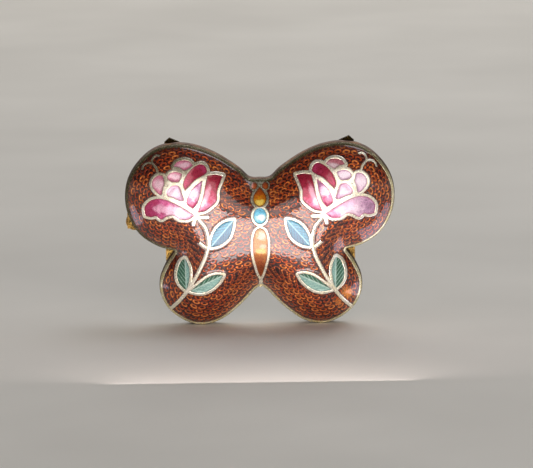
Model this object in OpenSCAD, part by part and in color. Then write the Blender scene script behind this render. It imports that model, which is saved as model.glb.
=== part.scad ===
// Butterfly brooch: a domed copper shell, open at the back, with cloisonne enamel on its front.
// Flat wires stand on the shell and divide the enamel into cells.
// Behind the shell are two straps, a pin bar, a riveted pin and a locking catch.
// X runs from wing to wing, Z runs up as worn, and the front faces -Y.
// The lower lobes stand on Z = 0, and the shell's rear edge lies in Y = 0.

/* [Wings] */
// Width across both upper wings
wing_span = 50; // [42:1:60]
// Height from the foot of the lower lobes to the top of the upper wings
wing_height = 34.1; // [29:0.1:41]

/* [Shell] */
// Rise of the domed front above its rim
dome_rise = 5; // [4:0.1:6]
// Roundness of the dome, where a smaller value gives fuller edges
dome_power = 0.8; // [0.7:0.05:1]
// Depth of the upright side wall behind the rim
wall_depth = 2.4; // [2:0.1:3]
// Thickness of the copper sheet
sheet_t = 0.5; // [0.4:0.05:0.6]
// Thickness of the counter-enamel in the hollow back
lining_t = 0.25; // [0.2:0.05:0.3]

/* [Enamel and wires] */
// Depth of the enamel, and height of the wires that stand in it
enamel_t = 0.6; // [0.5:0.05:0.75]
// Width of the rim wire
rim_w = 0.6; // [0.5:0.05:0.7]
// Width of the wires around the petals and the leaves
cell_wire_w = 0.52; // [0.42:0.02:0.64]
// Width of the wires around the body
body_wire_w = 0.5; // [0.4:0.02:0.6]
// Width of the flower's stem
stem_w = 0.66; // [0.5:0.02:0.8]
// Width of the tendrils
tendril_w = 0.5; // [0.4:0.02:0.6]
// Gap between an enamel cell and the metal around it
cell_gap = 0.02; // [0.01:0.01:0.04]

/* [Back bars] */
// Distance from the brooch's middle to the middle of each strap
strap_x = 16.2; // [15.8:0.1:16.6]
// Width of each strap
strap_w = 2.8; // [2.2:0.1:3.3]
// Thickness of each strap
strap_t = 0.8; // [0.6:0.05:1]
// How far a strap's tip shows above the wing
strap_peek = 0.8; // [0.6:0.1:1.2]
// Height of the pin bar's middle
bar_z = 19.1; // [17:0.1:20]
// Width of the pin bar
bar_w = 3.2; // [2.7:0.1:3.9]
// Thickness of the pin bar
bar_t = 0.8; // [0.65:0.05:1]

/* [Pin] */
// Radius of the pin's stem
pin_r = 0.45; // [0.37:0.01:0.54]
// Clear gap between the pin bar and the stem
fabric_gap = 4.3; // [4.2:0.1:5]
// Distance from the middle of the brooch to the hinge, whose end shows past the left wing
hinge_x = 23.6; // [22.6:0.1:23.8]
// Distance from the middle of the brooch to the catch
catch_x = 18.5; // [17.5:0.1:18.8]
// Length of the stem's tapered end
taper_len = 7; // [6:0.1:8]
// Radius of the pin's point
point_r = 0.12; // [0.08:0.01:0.15]
// Radius of the hinge rivet
rivet_r = 0.5; // [0.4:0.01:0.55]
// Radial clearance of the turning fits
turn_gap = 0.05; // [0.03:0.01:0.07]
// Radius of the pin's eye
eye_r = 1.15; // [1.05:0.01:1.25]
// Height of the pin's eye
eye_h = 1.4; // [1.2:0.05:1.6]
// Thickness of each hinge ear
ear_t = 0.7; // [0.6:0.05:0.8]

/* [Catch] */
// Thickness of the catch housing around the roller's rib
housing_wall = 0.43; // [0.35:0.01:0.5]
// Outer radius of the turning roller
roller_r = 1.2; // [1.1:0.01:1.44]
// Radial clearance between the stem and the roller's hole
hole_gap = 0.1; // [0.06:0.01:0.15]
// Length of the catch along the pin
catch_len = 2; // [1.7:0.05:2.3]
// Height of the roller's rib, which keeps it in the housing
rib_rise = 0.22; // [0.15:0.01:0.25]
// Length of the roller's thumb lever past the housing
lever_reach = 0.9; // [0.6:0.05:1.2]

/* [Hidden] */

// The wing outline and the cells are drawn for this span and height, and stretch with the wings.
drawn_span = 50;
drawn_height = 34.1;
steps = 2;
wire_fill = 0.5;
rings = 7;
round_fn = 48;
eps = 0.01;

copper = "#b5713c";
brass = "#b08a3e";
gold = "#d9c48a";
steel = "#b9b9b4";
turquoise = "#3f9ea8";
amber = "#7a2f12";
magenta = "#a82c52";
pale = "#e7c3d6";
sky = "#6fb6d8";
leaf_green = "#4f8f7d";
body_amber = "#b0621c";

function fit(p) = [p.x * wing_span / drawn_span, p.y * wing_height / drawn_height];

// Half of the outline, from the notch over the head to the notch under the tail
half_outline = [
    [0, 27.4], [1.9, 27.6], [4, 29.5], [8, 32.1], [12, 33.7], [16.3, 34.1], [20, 32.9], [23, 30.1],
    [24.7, 26.8], [25, 23.2], [24.1, 19.8], [22.1, 16.9], [19, 14.9], [16, 14], [17.6, 11.6],
    [18.8, 8.6], [18.6, 5.6], [17, 2.8], [14, 0.7], [11, 0], [7.5, 0.9], [4, 3.5], [1.2, 6.4], [0, 7.3]
];
outline_corners = [0, 13, 23, 33];
wing_top_z = 34.1;
middle = fit([0, 17]);
crown = fit([4, 17.5]);

// Petals, leaves and stems of the right wing
lower_petal = [
    [12.2, 21.5], [13.3, 22.3], [14.8, 23.2], [16.4, 24], [18.4, 24.6], [20.2, 24.2], [21.3, 22.9],
    [21.2, 21.3], [20.2, 21.1], [19.2, 21.3], [18.3, 20.7], [17.2, 21.3], [16, 21.5], [14.9, 20.8],
    [13.4, 20.7]
];
inner_petal = [
    [6.8, 28.5], [8.2, 28.8], [9.6, 28.7], [10, 27], [10.4, 25], [11, 23.3], [11.5, 22.1],
    [10.2, 22.3], [8.9, 23.2], [8, 24.2], [7.9, 25.8], [7.5, 27]
];
narrow_petal = [[10.6, 27.9], [11.9, 26.9], [12.9, 25.7], [13.5, 23.8], [12.4, 22.8], [11.6, 23.8], [11, 25.6]];
crown_petal = [
    [9.7, 29.5], [10.2, 30.5], [11.2, 30.7], [12.5, 30], [13.6, 28.7], [14.1, 27.2], [13.8, 26.2],
    [12.8, 27.2], [11.7, 28.2], [10.2, 28.9]
];
top_petal = [
    [12.3, 30.6], [13, 31.3], [14.1, 31.5], [15.2, 31.2], [15.8, 30.5], [14.8, 30.3], [13.9, 29.8], [13.1, 30.1]
];
small_petal = [[14.35, 29.15], [15.4, 29.5], [16.5, 29.25], [17, 28.5], [16.4, 27.85], [15.1, 27.75], [14.6, 28.4]];
heart_petal = [
    [15, 26.9], [16.2, 27], [17.1, 26], [17, 25.2], [15.9, 24.8], [14.8, 24.3], [14.1, 24.4], [14.4, 25.5]
];
outer_petal = [
    [17.9, 28.8], [18.8, 28.8], [19.7, 28], [19.8, 26.9], [19, 25.8], [18.2, 25.4], [17.9, 26.6], [17.6, 27.5]
];
blue_leaf = [
    [4.9, 20.5], [6.3, 20.2], [7.6, 19.4], [8.5, 18.2], [9, 16.9], [9.2, 15.5], [8, 15.7], [6.8, 16.3],
    [5.8, 17.3], [5.2, 18.8]
];
low_leaf = [
    [7, 10.1], [8.4, 10.2], [9.8, 9.7], [11.2, 8.7], [13.1, 7.1], [11.6, 6.8], [10.2, 7], [8.8, 7.8], [7.7, 8.9]
];
tall_leaf = [
    [14, 13.1], [14.9, 12.3], [15.4, 11], [15.5, 9.6], [15, 8.3], [13.8, 7.2], [13.4, 8.7], [13.2, 10.4],
    [13.4, 11.9]
];
petal_list = [
    [lower_petal, [0, 7]], [inner_petal, [0, 2, 6]], [narrow_petal, [0, 4]], [crown_petal, [6]],
    [top_petal, [0, 4]], [small_petal, [0]], [heart_petal, []], [outer_petal, [0]]
];
leaf_list = [[blue_leaf, [0, 5]], [low_leaf, [0, 4]], [tall_leaf, [0, 5]]];

stem_route = [
    [12, 21.4], [11.2, 20.5], [10.2, 19.2], [9.7, 17.6], [9.6, 16.1], [9.8, 14.9], [10.2, 13.5],
    [10.9, 12], [11.7, 10.4], [12.5, 9], [13.4, 7.6], [14.1, 6.5]
];
stem_foot = [[14.1, 6.5], [15.1, 5.2], [16.2, 4], [17.2, 2.9]];
thorn = [[9.8, 15.2], [10.6, 15.7], [11.3, 16.3]];
spurs = [[[11.9, 21.3], [10.8, 21.1], [9.7, 21.1]], [[11.9, 21], [12.2, 20.3], [12.3, 19.8]]];
tendrils = [
    [[18.8, 29.3], [19.1, 30.2], [19.9, 31]],
    [[19.9, 31], [19.7, 31.8], [19.1, 32.3], [18.4, 32.2]],
    [[19.9, 31], [20.8, 30.9], [21.5, 30.4], [21.7, 29.7]]
];

// Body cells on the middle line
head_cell = [
    [0, 26.1], [0.5, 25.6], [1.05, 24.9], [1.2, 24.1], [0.85, 23.3], [0, 22.85],
    [-0.85, 23.3], [-1.2, 24.1], [-1.05, 24.9], [-0.5, 25.6]
];
abdomen_cell = [
    [0, 18.9], [0.85, 18.4], [1.3, 16.8], [1.35, 15], [1.15, 13.2], [0.75, 11.6], [0.35, 10.2], [0, 9.4],
    [-0.35, 10.2], [-0.75, 11.6], [-1.15, 13.2], [-1.35, 15], [-1.3, 16.8], [-0.85, 18.4]
];
tail_route = [[0, 9.6], [0, 8.4], [0, 7.1]];
nape_route = [[0, 25.9], [0, 26.5], [0, 27.1]];
nape_w = 1;
bead_z = 21.2;
bead_w = 1.2;
bead_h = 1.45;
eye_x = 1.05;
eye_z = 26.35;
eye_cell_r = 0.58;

// Pin and catch places that follow from the sizes above
bar_y = strap_t;
plate_y = bar_y + bar_t;
plate_t = 0.6;
pin_y = plate_y + fabric_gap + pin_r;
pin_z = bar_z * wing_height / drawn_height;
tip_x = catch_x + catch_len / 2 + 2;
stem_start = -hinge_x + eye_r - 0.1;
taper_start = tip_x - taper_len;
catch_bore_r = roller_r + turn_gap;
rib_r = roller_r + rib_rise;
catch_r = rib_r + turn_gap + housing_wall;
rib_w = catch_len * 0.35;
housing_half_gap = 66;
lever_angle = -54;
lever_t = 0.5;
roller_hole_r = pin_r + hole_gap;
pin_r_in_catch = pin_r - (pin_r - point_r) * (catch_x - catch_len / 2 - taper_start) / taper_len;
slot_half = pin_r_in_catch + 2 * turn_gap;

// A point on the curve through four neighbours, between b and c
function curve_point(a, b, c, d, t) =
    0.5 * (2 * b + (c - a) * t + (2 * a - 5 * b + 4 * c - d) * t * t + (3 * b - a - 3 * c + d) * t * t * t);

function is_corner(corners, i) = len(search(i, corners)) > 0;

// A closed smooth outline through the points, sharp at the listed corners
function closed_curve(points, corners, count) =
    let (n = len(points))
    [
        for (i = [0:n - 1])
        let (
            b = points[i],
            c = points[(i + 1) % n],
            a = is_corner(corners, i) ? b : points[(i + n - 1) % n],
            d = is_corner(corners, (i + 1) % n) ? c : points[(i + 2) % n]
        )
        for (k = [0:count - 1]) curve_point(a, b, c, d, k / count)
    ];

// An open smooth route through the points
function open_curve(points, count) =
    let (n = len(points))
    [
        for (i = [0:n - 2])
        let (a = points[max(i - 1, 0)], b = points[i], c = points[i + 1], d = points[min(i + 2, n - 1)])
        for (k = [0:count - 1]) curve_point(a, b, c, d, k / count),
        points[n - 1]
    ];

function flipped(p) = [-p.x, p.y];
function whole_outline() =
    [for (p = half_outline) fit(p), for (i = [len(half_outline) - 2:-1:1]) fit(flipped(half_outline[i]))];

// How strongly the edge from a to b is felt at p, so that near edges count the most
function edge_pull(p, a, b) =
    let (
        run = norm(b - a),
        along = (b - a) / run,
        s1 = (a - p) * along,
        s2 = s1 + run,
        h = max(abs(cross(p - a, along)), eps)
    )
    abs(s2 / sqrt(h * h + s2 * s2) - s1 / sqrt(h * h + s1 * s1)) / (h * h);

function total(values) = values * [for (v = values) 1];

// A smooth distance from p to the outline: zero on the outline, and greatest in the middle
function reach(p, edge) =
    let (n = len(edge))
    sqrt(2 / total([for (i = [0:n - 1]) edge_pull(p, edge[i], edge[(i + 1) % n])]));

function dome_height(p, edge, full) =
    let (t = min(1, reach(p, edge) / full))
    wall_depth + dome_rise * pow(t * (2 - t), dome_power);

// The dome as one solid, from its front surface back past the rear edge, with its front facing +Z.
// Its left and right halves are mirror images, facet by facet, so that mirrored enamel fits on both.
module dome_block() {
    edge = whole_outline();
    full = reach(crown, edge);
    rim = closed_curve(edge, outline_corners, 2);
    n = len(edge);
    inner = [
        for (j = [1:rings - 1])
        let (s = sin(90 * j / rings))
        for (p = edge)
        let (q = middle + (p - middle) * s)
        [q.x, q.y, dome_height(q, edge, full)]
    ];
    top = [middle.x, middle.y, dome_height(middle, edge, full)];
    front = [for (p = rim) [p.x, p.y, wall_depth]];
    back = [for (p = rim) [p.x, p.y, -wall_depth]];
    points = concat([top], inner, front, back);
    last = 1 + (rings - 2) * n;
    first_rim = 1 + (rings - 1) * n;
    faces = concat(
        [for (i = [0:n - 1]) [0, 1 + i, 1 + (i + 1) % n]],
        [
            for (j = [0:rings - 3], i = [0:n - 1])
            let (a = 1 + j * n + i, b = 1 + j * n + (i + 1) % n)
            each i < n / 2 ? [[a, a + n, b], [b, a + n, b + n]] : [[a, a + n, b + n], [a, b + n, b]]
        ],
        [
            for (i = [0:n - 1])
            let (a = last + i, b = last + (i + 1) % n, c = first_rim + 2 * i, e = first_rim + (2 * i + 2) % (2 * n))
            each [[a, c, c + 1], [a, c + 1, b], [b, c + 1, e]]
        ],
        [
            for (i = [0:2 * n - 1])
            let (a = first_rim + i, b = first_rim + (i + 1) % (2 * n))
            each [[a, a + 2 * n, b], [b, a + 2 * n, b + 2 * n]]
        ],
        [[for (i = [2 * n - 1:-1:0]) first_rim + 2 * n + i]]
    );
    polyhedron(points, faces);
}

// Turns a flat drawing's solid so that its front faces -Y
module facing_front() {
    rotate([90, 0, 0]) children();
}

// The layer of the front between two depths below the enamel's surface
module front_layer(near, far) {
    difference() {
        translate([0, 0, -near]) dome_block();
        translate([0, 0, -far]) dome_block();
    }
}

module upright(depth) {
    linear_extrude(depth) children();
}

module wing_shape(inset) {
    offset(delta = -inset) polygon(closed_curve(whole_outline(), outline_corners, steps));
}

// The part of the enamel layer over a flat drawing, kept as one mesh
module inlay() {
    facing_front() resize([0, 0, 0]) intersection() {
        front_layer(0, enamel_t);
        upright(wall_depth + dome_rise + 1) children();
    }
}

// Fills the narrow gaps of a flat drawing
module filled(gap) {
    offset(delta = -gap / 2) offset(delta = gap / 2) children();
}

module cell_shape(cell) {
    polygon(closed_curve([for (p = cell[0]) fit(p)], cell[1], steps));
}

module cells(list) {
    for (cell = list) cell_shape(cell);
}

module cell_wires(list, width) {
    difference() {
        offset(r = width, $fn = 12) cells(list);
        cells(list);
    }
}

// A flat line of even width with round ends
module line_shape(route, width) {
    points = open_curve([for (p = route) fit(p)], steps);
    n = len(points);
    side = [
        for (i = [0:n - 1])
        let (run = points[min(i + 1, n - 1)] - points[max(i - 1, 0)], u = run / norm(run))
        [-u.y, u.x] * width / 2
    ];
    polygon(concat([for (i = [0:n - 1]) points[i] + side[i]], [for (i = [n - 1:-1:0]) points[i] - side[i]]));
    for (end = [points[0], points[n - 1]]) translate(end) circle(width / 2, $fn = 12);
}

module flower_shape() {
    difference() {
        filled(wire_fill) union() {
            offset(r = cell_wire_w, $fn = 12) cells(petal_list);
            for (spur = spurs) line_shape(spur, stem_w);
        }
        cells(petal_list);
    }
}

module leaf_shape() {
    difference() {
        cell_wires(leaf_list, cell_wire_w);
        offset(delta = cell_gap) flower_shape();
    }
}

module stem_shape() {
    difference() {
        union() {
            line_shape(stem_route, stem_w);
            line_shape(thorn, stem_w);
            line_shape(stem_foot, tendril_w);
        }
        offset(delta = cell_gap) flower_shape();
        offset(delta = cell_gap) leaf_shape();
        cells(leaf_list);
        cells(petal_list);
        rim_shape();
    }
}

module tendril_shape() {
    difference() {
        for (part = tendrils) line_shape(part, tendril_w);
        offset(delta = cell_gap) flower_shape();
        cells(petal_list);
        offset(delta = cell_gap) rim_shape();
    }
}

// The rim wire's flat shape, left uncut past the outline, where the layer itself ends.
// It narrows behind the eyes, which reach into it.
module rim_shape() {
    difference() {
        wing_shape(-1);
        wing_shape(rim_w);
        offset(delta = body_wire_w / 2) eye_shape();
    }
}

module eye_shape() {
    for (side = [-1, 1]) translate(fit([side * eye_x, eye_z])) circle(eye_cell_r, $fn = 20);
}

module bead_shape() {
    translate(fit([0, bead_z])) scale([bead_w, bead_h]) circle(1, $fn = 28);
}

module middle_cells() {
    polygon(closed_curve([for (p = head_cell) fit(p)], [], steps));
    polygon(closed_curve([for (p = abdomen_cell) fit(p)], [7], steps));
    bead_shape();
}

module body_cells() {
    middle_cells();
    eye_shape();
}

module body_wire_shape() {
    difference() {
        union() {
            offset(r = body_wire_w, $fn = 12) middle_cells();
            offset(delta = body_wire_w / 2) eye_shape();
            line_shape(tail_route, body_wire_w * 1.4);
            line_shape(nape_route, nape_w);
        }
        body_cells();
        offset(delta = cell_gap) rim_shape();
    }
}

// Everything on the right wing that is not its ground enamel
module drawn_shape() {
    cells(petal_list);
    cells(leaf_list);
    flower_shape();
    leaf_shape();
    stem_shape();
    tendril_shape();
    body_cells();
    body_wire_shape();
}

module ground_shape() {
    difference() {
        intersection() {
            wing_shape(rim_w + cell_gap);
            square([wing_span, 2 * wing_height]);
        }
        offset(delta = cell_gap) drawn_shape();
    }
}

module enamel_cell(cell) {
    inlay() offset(delta = -cell_gap) cell_shape(cell);
}

// Shell and its linings
module base_shell() {
    color(copper) facing_front() resize([0, 0, 0]) difference() {
        intersection() {
            translate([0, 0, -enamel_t - cell_gap]) dome_block();
            upright(wall_depth + dome_rise + 1) wing_shape(-1);
        }
        intersection() {
            translate([0, 0, -enamel_t - cell_gap - sheet_t]) dome_block();
            translate([0, 0, -1]) upright(wall_depth + dome_rise + 2) wing_shape(sheet_t);
        }
    }
}

module counter_enamel() {
    under = enamel_t + sheet_t + 2 * cell_gap;
    color(turquoise) facing_front() resize([0, 0, 0]) intersection() {
        front_layer(under, under + lining_t);
        translate([0, 0, lining_t]) upright(wall_depth + dome_rise) wing_shape(sheet_t + cell_gap);
    }
}

module rim_wire() {
    color(gold) inlay() rim_shape();
}

module ground_enamel_right() {
    color(amber) inlay() ground_shape();
}

module ground_enamel_left() {
    mirror([1, 0, 0]) ground_enamel_right();
}

// Wires
module flower_wires_right() {
    color(gold) inlay() flower_shape();
}

module flower_wires_left() {
    mirror([1, 0, 0]) flower_wires_right();
}

module stem_wire_right() {
    color(gold) inlay() stem_shape();
}

module stem_wire_left() {
    mirror([1, 0, 0]) stem_wire_right();
}

module leaf_wires_right() {
    color(gold) inlay() leaf_shape();
}

module leaf_wires_left() {
    mirror([1, 0, 0]) leaf_wires_right();
}

module tendril_wire_right() {
    color(gold) inlay() tendril_shape();
}

module tendril_wire_left() {
    mirror([1, 0, 0]) tendril_wire_right();
}

module body_wires() {
    color(gold) inlay() body_wire_shape();
}

// Petals
module petal_lower_right() {
    color(pale) enamel_cell(petal_list[0]);
}

module petal_lower_left() {
    mirror([1, 0, 0]) petal_lower_right();
}

module petal_inner_right() {
    color(magenta) enamel_cell(petal_list[1]);
}

module petal_inner_left() {
    mirror([1, 0, 0]) petal_inner_right();
}

module petal_narrow_right() {
    color(pale) enamel_cell(petal_list[2]);
}

module petal_narrow_left() {
    mirror([1, 0, 0]) petal_narrow_right();
}

module petal_crown_right() {
    color(magenta) enamel_cell(petal_list[3]);
}

module petal_crown_left() {
    mirror([1, 0, 0]) petal_crown_right();
}

module petal_top_right() {
    color(pale) enamel_cell(petal_list[4]);
}

module petal_top_left() {
    mirror([1, 0, 0]) petal_top_right();
}

module petal_small_right() {
    color(pale) enamel_cell(petal_list[5]);
}

module petal_small_left() {
    mirror([1, 0, 0]) petal_small_right();
}

module petal_heart_right() {
    color(pale) enamel_cell(petal_list[6]);
}

module petal_heart_left() {
    mirror([1, 0, 0]) petal_heart_right();
}

module petal_outer_right() {
    color(pale) enamel_cell(petal_list[7]);
}

module petal_outer_left() {
    mirror([1, 0, 0]) petal_outer_right();
}

// Leaves
module blue_leaf_right() {
    color(sky) enamel_cell(leaf_list[0]);
}

module blue_leaf_left() {
    mirror([1, 0, 0]) blue_leaf_right();
}

module low_leaf_right() {
    color(leaf_green) enamel_cell(leaf_list[1]);
}

module low_leaf_left() {
    mirror([1, 0, 0]) low_leaf_right();
}

module tall_leaf_right() {
    color(leaf_green) enamel_cell(leaf_list[2]);
}

module tall_leaf_left() {
    mirror([1, 0, 0]) tall_leaf_right();
}

// Body
module eyes() {
    color(body_amber) inlay() offset(delta = -cell_gap) eye_shape();
}

module head() {
    color(body_amber) enamel_cell([head_cell, []]);
}

module thorax_bead() {
    color(turquoise) inlay() offset(delta = -cell_gap) bead_shape();
}

module abdomen() {
    color(body_amber) enamel_cell([abdomen_cell, [7]]);
}

// Straps across the hollow back, with slanted tips that show above the wings
module strap_right() {
    half = strap_w / 2;
    shoulder = fit([0, wing_top_z]).y;
    x = fit([strap_x, 0]).x;
    foot = fit([0, 5]).y;
    color(brass) translate([0, strap_t, 0]) facing_front() upright(strap_t) polygon([
        [x - half, foot], [x + half, foot], [x + half, shoulder], [x + 0.35 * half, shoulder + strap_peek],
        [x - half, shoulder]
    ]);
}

module strap_left() {
    mirror([1, 0, 0]) strap_right();
}

module pin_bar() {
    left = -hinge_x - 1.4;
    right = catch_x + 2.6;
    r = bar_w / 2;
    color(brass) translate([0, plate_y, 0]) facing_front() upright(bar_t) union() {
        translate([left + r, pin_z - r]) square([right - left - 2 * r, bar_w]);
        translate([left + r, pin_z]) circle(r, $fn = round_fn);
        translate([right - r, pin_z]) circle(r, $fn = round_fn);
    }
}

// Hinge: a folded bracket with two ears, the rivet through them, and the pin's eye between them
module hinge_bracket() {
    inside = eye_h / 2 + turn_gap;
    plate_h = 2 * (inside + ear_t);
    color(brass) difference() {
        union() {
            translate([-hinge_x - eye_r, plate_y, pin_z - plate_h / 2]) cube([2 * eye_r, plate_t, plate_h]);
            for (z = [pin_z - inside - ear_t, pin_z + inside]) {
                translate([-hinge_x, pin_y, z]) cylinder(ear_t, r = eye_r, $fn = round_fn);
                translate([-hinge_x - eye_r, plate_y, z]) cube([2 * eye_r, pin_y - plate_y, ear_t]);
            }
        }
        translate([-hinge_x, pin_y, pin_z - plate_h]) cylinder(2 * plate_h, r = rivet_r, $fn = round_fn);
    }
}

module hinge_rivet() {
    half = eye_h / 2 + turn_gap + ear_t;
    head_h = 0.25;
    color(steel) translate([-hinge_x, pin_y, pin_z]) {
        translate([0, 0, -half]) cylinder(2 * half, r = rivet_r, $fn = round_fn);
        for (side = [0, 1]) mirror([0, 0, side]) translate([0, 0, half])
            cylinder(head_h, rivet_r + 0.3, rivet_r + 0.1, $fn = round_fn);
    }
}

module pin_stem() {
    color(steel) difference() {
        union() {
            translate([-hinge_x, pin_y, pin_z - eye_h / 2]) cylinder(eye_h, r = eye_r, $fn = round_fn);
            translate([stem_start - 0.4, pin_y, pin_z]) rotate([0, 90, 0])
                cylinder(taper_start - stem_start + 0.4, r = pin_r, $fn = round_fn);
            translate([taper_start, pin_y, pin_z]) rotate([0, 90, 0])
                cylinder(taper_len, pin_r, point_r, $fn = round_fn);
        }
        translate([-hinge_x, pin_y, pin_z - eye_h])
            cylinder(2 * eye_h, r = rivet_r + turn_gap, $fn = round_fn);
    }
}

// Catch: a C-shaped housing on a post, with a slotted roller that turns inside it to lock the pin
module along_pin(length) {
    translate([catch_x - length / 2, pin_y, pin_z]) rotate([0, 90, 0]) children();
}

// A wedge that opens towards the back, used to cut the housing
module back_wedge(half_angle, length) {
    far = 3 * catch_r;
    along_pin(length) linear_extrude(length)
        polygon([[0, 0], [-far * sin(half_angle), far * cos(half_angle)], [0, 2 * far],
            [far * sin(half_angle), far * cos(half_angle)]]);
}

module catch_housing() {
    post_w = 1.4;
    color(brass) difference() {
        union() {
            along_pin(catch_len) cylinder(catch_len, r = catch_r, $fn = round_fn);
            translate([catch_x - catch_len / 2, plate_y, pin_z - post_w / 2])
                cube([catch_len, pin_y - plate_y - catch_r * 0.8, post_w]);
            translate([catch_x - catch_len / 2 - 0.5, plate_y, pin_z - bar_w / 2 + 0.2])
                cube([catch_len + 1, plate_t, bar_w - 0.4]);
        }
        along_pin(catch_len + 1) cylinder(catch_len + 1, r = catch_bore_r, $fn = round_fn);
        along_pin(rib_w + 0.1) cylinder(rib_w + 0.1, r = rib_r + turn_gap, $fn = round_fn);
        back_wedge(housing_half_gap, catch_len + 1);
    }
}

module catch_roller() {
    color(brass) difference() {
        union() {
            along_pin(catch_len) cylinder(catch_len, r = roller_r, $fn = round_fn);
            along_pin(rib_w) cylinder(rib_w, r = rib_r, $fn = round_fn);
            translate([catch_x, pin_y, pin_z]) rotate([lever_angle, 0, 0])
                translate([-catch_len / 2, roller_r * 0.7, -lever_t / 2])
                    cube([catch_len, catch_r - roller_r * 0.7 + lever_reach, lever_t]);
        }
        along_pin(catch_len + 1) cylinder(catch_len + 1, r = roller_hole_r, $fn = round_fn);
        translate([catch_x - catch_len, pin_y, pin_z - slot_half])
            cube([2 * catch_len, 2 * catch_r, 2 * slot_half]);
    }
}

base_shell();
counter_enamel();
rim_wire();
ground_enamel_left();
ground_enamel_right();
flower_wires_left();
flower_wires_right();
stem_wire_left();
stem_wire_right();
leaf_wires_left();
leaf_wires_right();
tendril_wire_left();
tendril_wire_right();
body_wires();
petal_lower_left();
petal_lower_right();
petal_inner_left();
petal_inner_right();
petal_narrow_left();
petal_narrow_right();
petal_crown_left();
petal_crown_right();
petal_top_left();
petal_top_right();
petal_small_left();
petal_small_right();
petal_heart_left();
petal_heart_right();
petal_outer_left();
petal_outer_right();
blue_leaf_left();
blue_leaf_right();
low_leaf_left();
low_leaf_right();
tall_leaf_left();
tall_leaf_right();
eyes();
head();
thorax_bead();
abdomen();
strap_left();
strap_right();
pin_bar();
hinge_bracket();
hinge_rivet();
pin_stem();
catch_housing();
catch_roller();
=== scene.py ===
import math

import bmesh
import bpy
import numpy as np
from mathutils import Matrix, Vector
from mathutils.geometry import delaunay_2d_cdt
from mathutils.kdtree import KDTree


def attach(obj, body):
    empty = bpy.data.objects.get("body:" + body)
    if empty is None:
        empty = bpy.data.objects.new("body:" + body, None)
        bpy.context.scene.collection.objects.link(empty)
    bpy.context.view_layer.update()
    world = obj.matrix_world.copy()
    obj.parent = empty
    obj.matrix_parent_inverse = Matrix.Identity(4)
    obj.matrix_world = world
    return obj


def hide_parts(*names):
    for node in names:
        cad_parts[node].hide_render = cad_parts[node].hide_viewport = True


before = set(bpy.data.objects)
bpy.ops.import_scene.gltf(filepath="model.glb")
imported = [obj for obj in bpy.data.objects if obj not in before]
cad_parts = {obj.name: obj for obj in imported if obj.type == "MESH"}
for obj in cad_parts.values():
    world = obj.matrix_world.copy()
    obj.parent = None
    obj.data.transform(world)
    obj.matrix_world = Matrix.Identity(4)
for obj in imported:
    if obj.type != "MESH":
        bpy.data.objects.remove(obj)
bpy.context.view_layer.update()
mm = 0.001
print("frame loaded with", len(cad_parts), "nodes")

# Sizes here are in millimetres: x from wing to wing, z up, and the front faces -y.
wing = {
    "wall": 2.4, "rise": 5, "power": 0.8, "crown": (4, 17.5), "enamel": 0.6, "sheet": 0.5,
    "lining": 0.25, "rim": 0.6, "cellWire": 0.57, "bodyWire": 0.5, "gap": 0.02,
    "outline": [
        (0, 27.4), (1.9, 27.6), (4, 29.5), (8, 32.1), (12, 33.7), (16.3, 34.1), (20, 32.9), (23, 30.1),
        (24.7, 26.8), (25, 23.2), (24.1, 19.8), (22.1, 16.9), (19, 14.9), (16, 14), (17.6, 11.6),
        (18.8, 8.6), (18.6, 5.6), (17, 2.8), (14, 0.7), (11, 0), (7.5, 0.9), (4, 3.5), (1.2, 6.4), (0, 7.3),
    ],
    "corners": (0, 13, 23, 33),
}


# Curves and outlines
def curvePoint(a, b, c, d, t):
    return 0.5 * (2 * b + (c - a) * t + (2 * a - 5 * b + 4 * c - d) * t * t + (3 * b - a - 3 * c + d) * t ** 3)


def smoothLoop(points, corners, spacing):
    pts = np.array(points, float)
    n = len(pts)
    out = []
    for i in range(n):
        b, c = pts[i], pts[(i + 1) % n]
        a = b if i in corners else pts[i - 1]
        d = c if (i + 1) % n in corners else pts[(i + 2) % n]
        count = max(2, math.ceil(np.linalg.norm(c - b) / spacing))
        out += [curvePoint(a, b, c, d, k / count) for k in range(count)]
    return np.array(out)


def smoothRoute(points, spacing):
    pts = np.array(points, float)
    n = len(pts)
    out = []
    for i in range(n - 1):
        a, b, c, d = pts[max(i - 1, 0)], pts[i], pts[i + 1], pts[min(i + 2, n - 1)]
        count = max(2, math.ceil(np.linalg.norm(c - b) / spacing))
        out += [curvePoint(a, b, c, d, k / count) for k in range(count)]
    return np.array(out + [pts[-1]])


def nearest(points, others):
    tree = KDTree(len(others))
    for i, p in enumerate(others):
        tree.insert((p[0], p[1], 0), i)
    tree.balance()
    return np.array([tree.find((p[0], p[1], 0))[2] for p in points])


def insideLoop(points, loop):
    x, z = points[:, 0], points[:, 1]
    inside = np.zeros(len(points), bool)
    bx, bz = loop[-1]
    for ax, az in loop:
        if az != bz:
            inside ^= ((az > z) != (bz > z)) & (x < (bx - ax) * (z - az) / (bz - az) + ax)
        bx, bz = ax, az
    return inside


# Moves a loop outwards, or inwards for a negative distance, and rounds it about each sharp corner
def offsetLoop(loop, distance):
    nextPoint = np.roll(loop, -1, axis=0)
    turnsLeft = np.sum(loop[:, 0] * nextPoint[:, 1] - nextPoint[:, 0] * loop[:, 1]) > 0
    if not turnsLeft:
        loop = loop[::-1]
    out = []
    n = len(loop)
    for i in range(n):
        into, away = loop[i] - loop[i - 1], loop[(i + 1) % n] - loop[i]
        into, away = into / np.linalg.norm(into), away / np.linalg.norm(away)
        turn = math.atan2(into[0] * away[1] - into[1] * away[0], into @ away)
        start = math.atan2(-into[0], into[1])
        steps = math.ceil(abs(turn) / 0.3) if turn * distance > 0 and abs(turn) > 0.35 else 0
        for k in range(steps + 1):
            angle = start + (turn * k / steps if steps else turn / 2)
            out.append(loop[i] + distance * np.array([math.cos(angle), math.sin(angle)]))
    out = np.array(out)
    return out[nearest(out, loop) > abs(distance) * 0.97]


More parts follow.
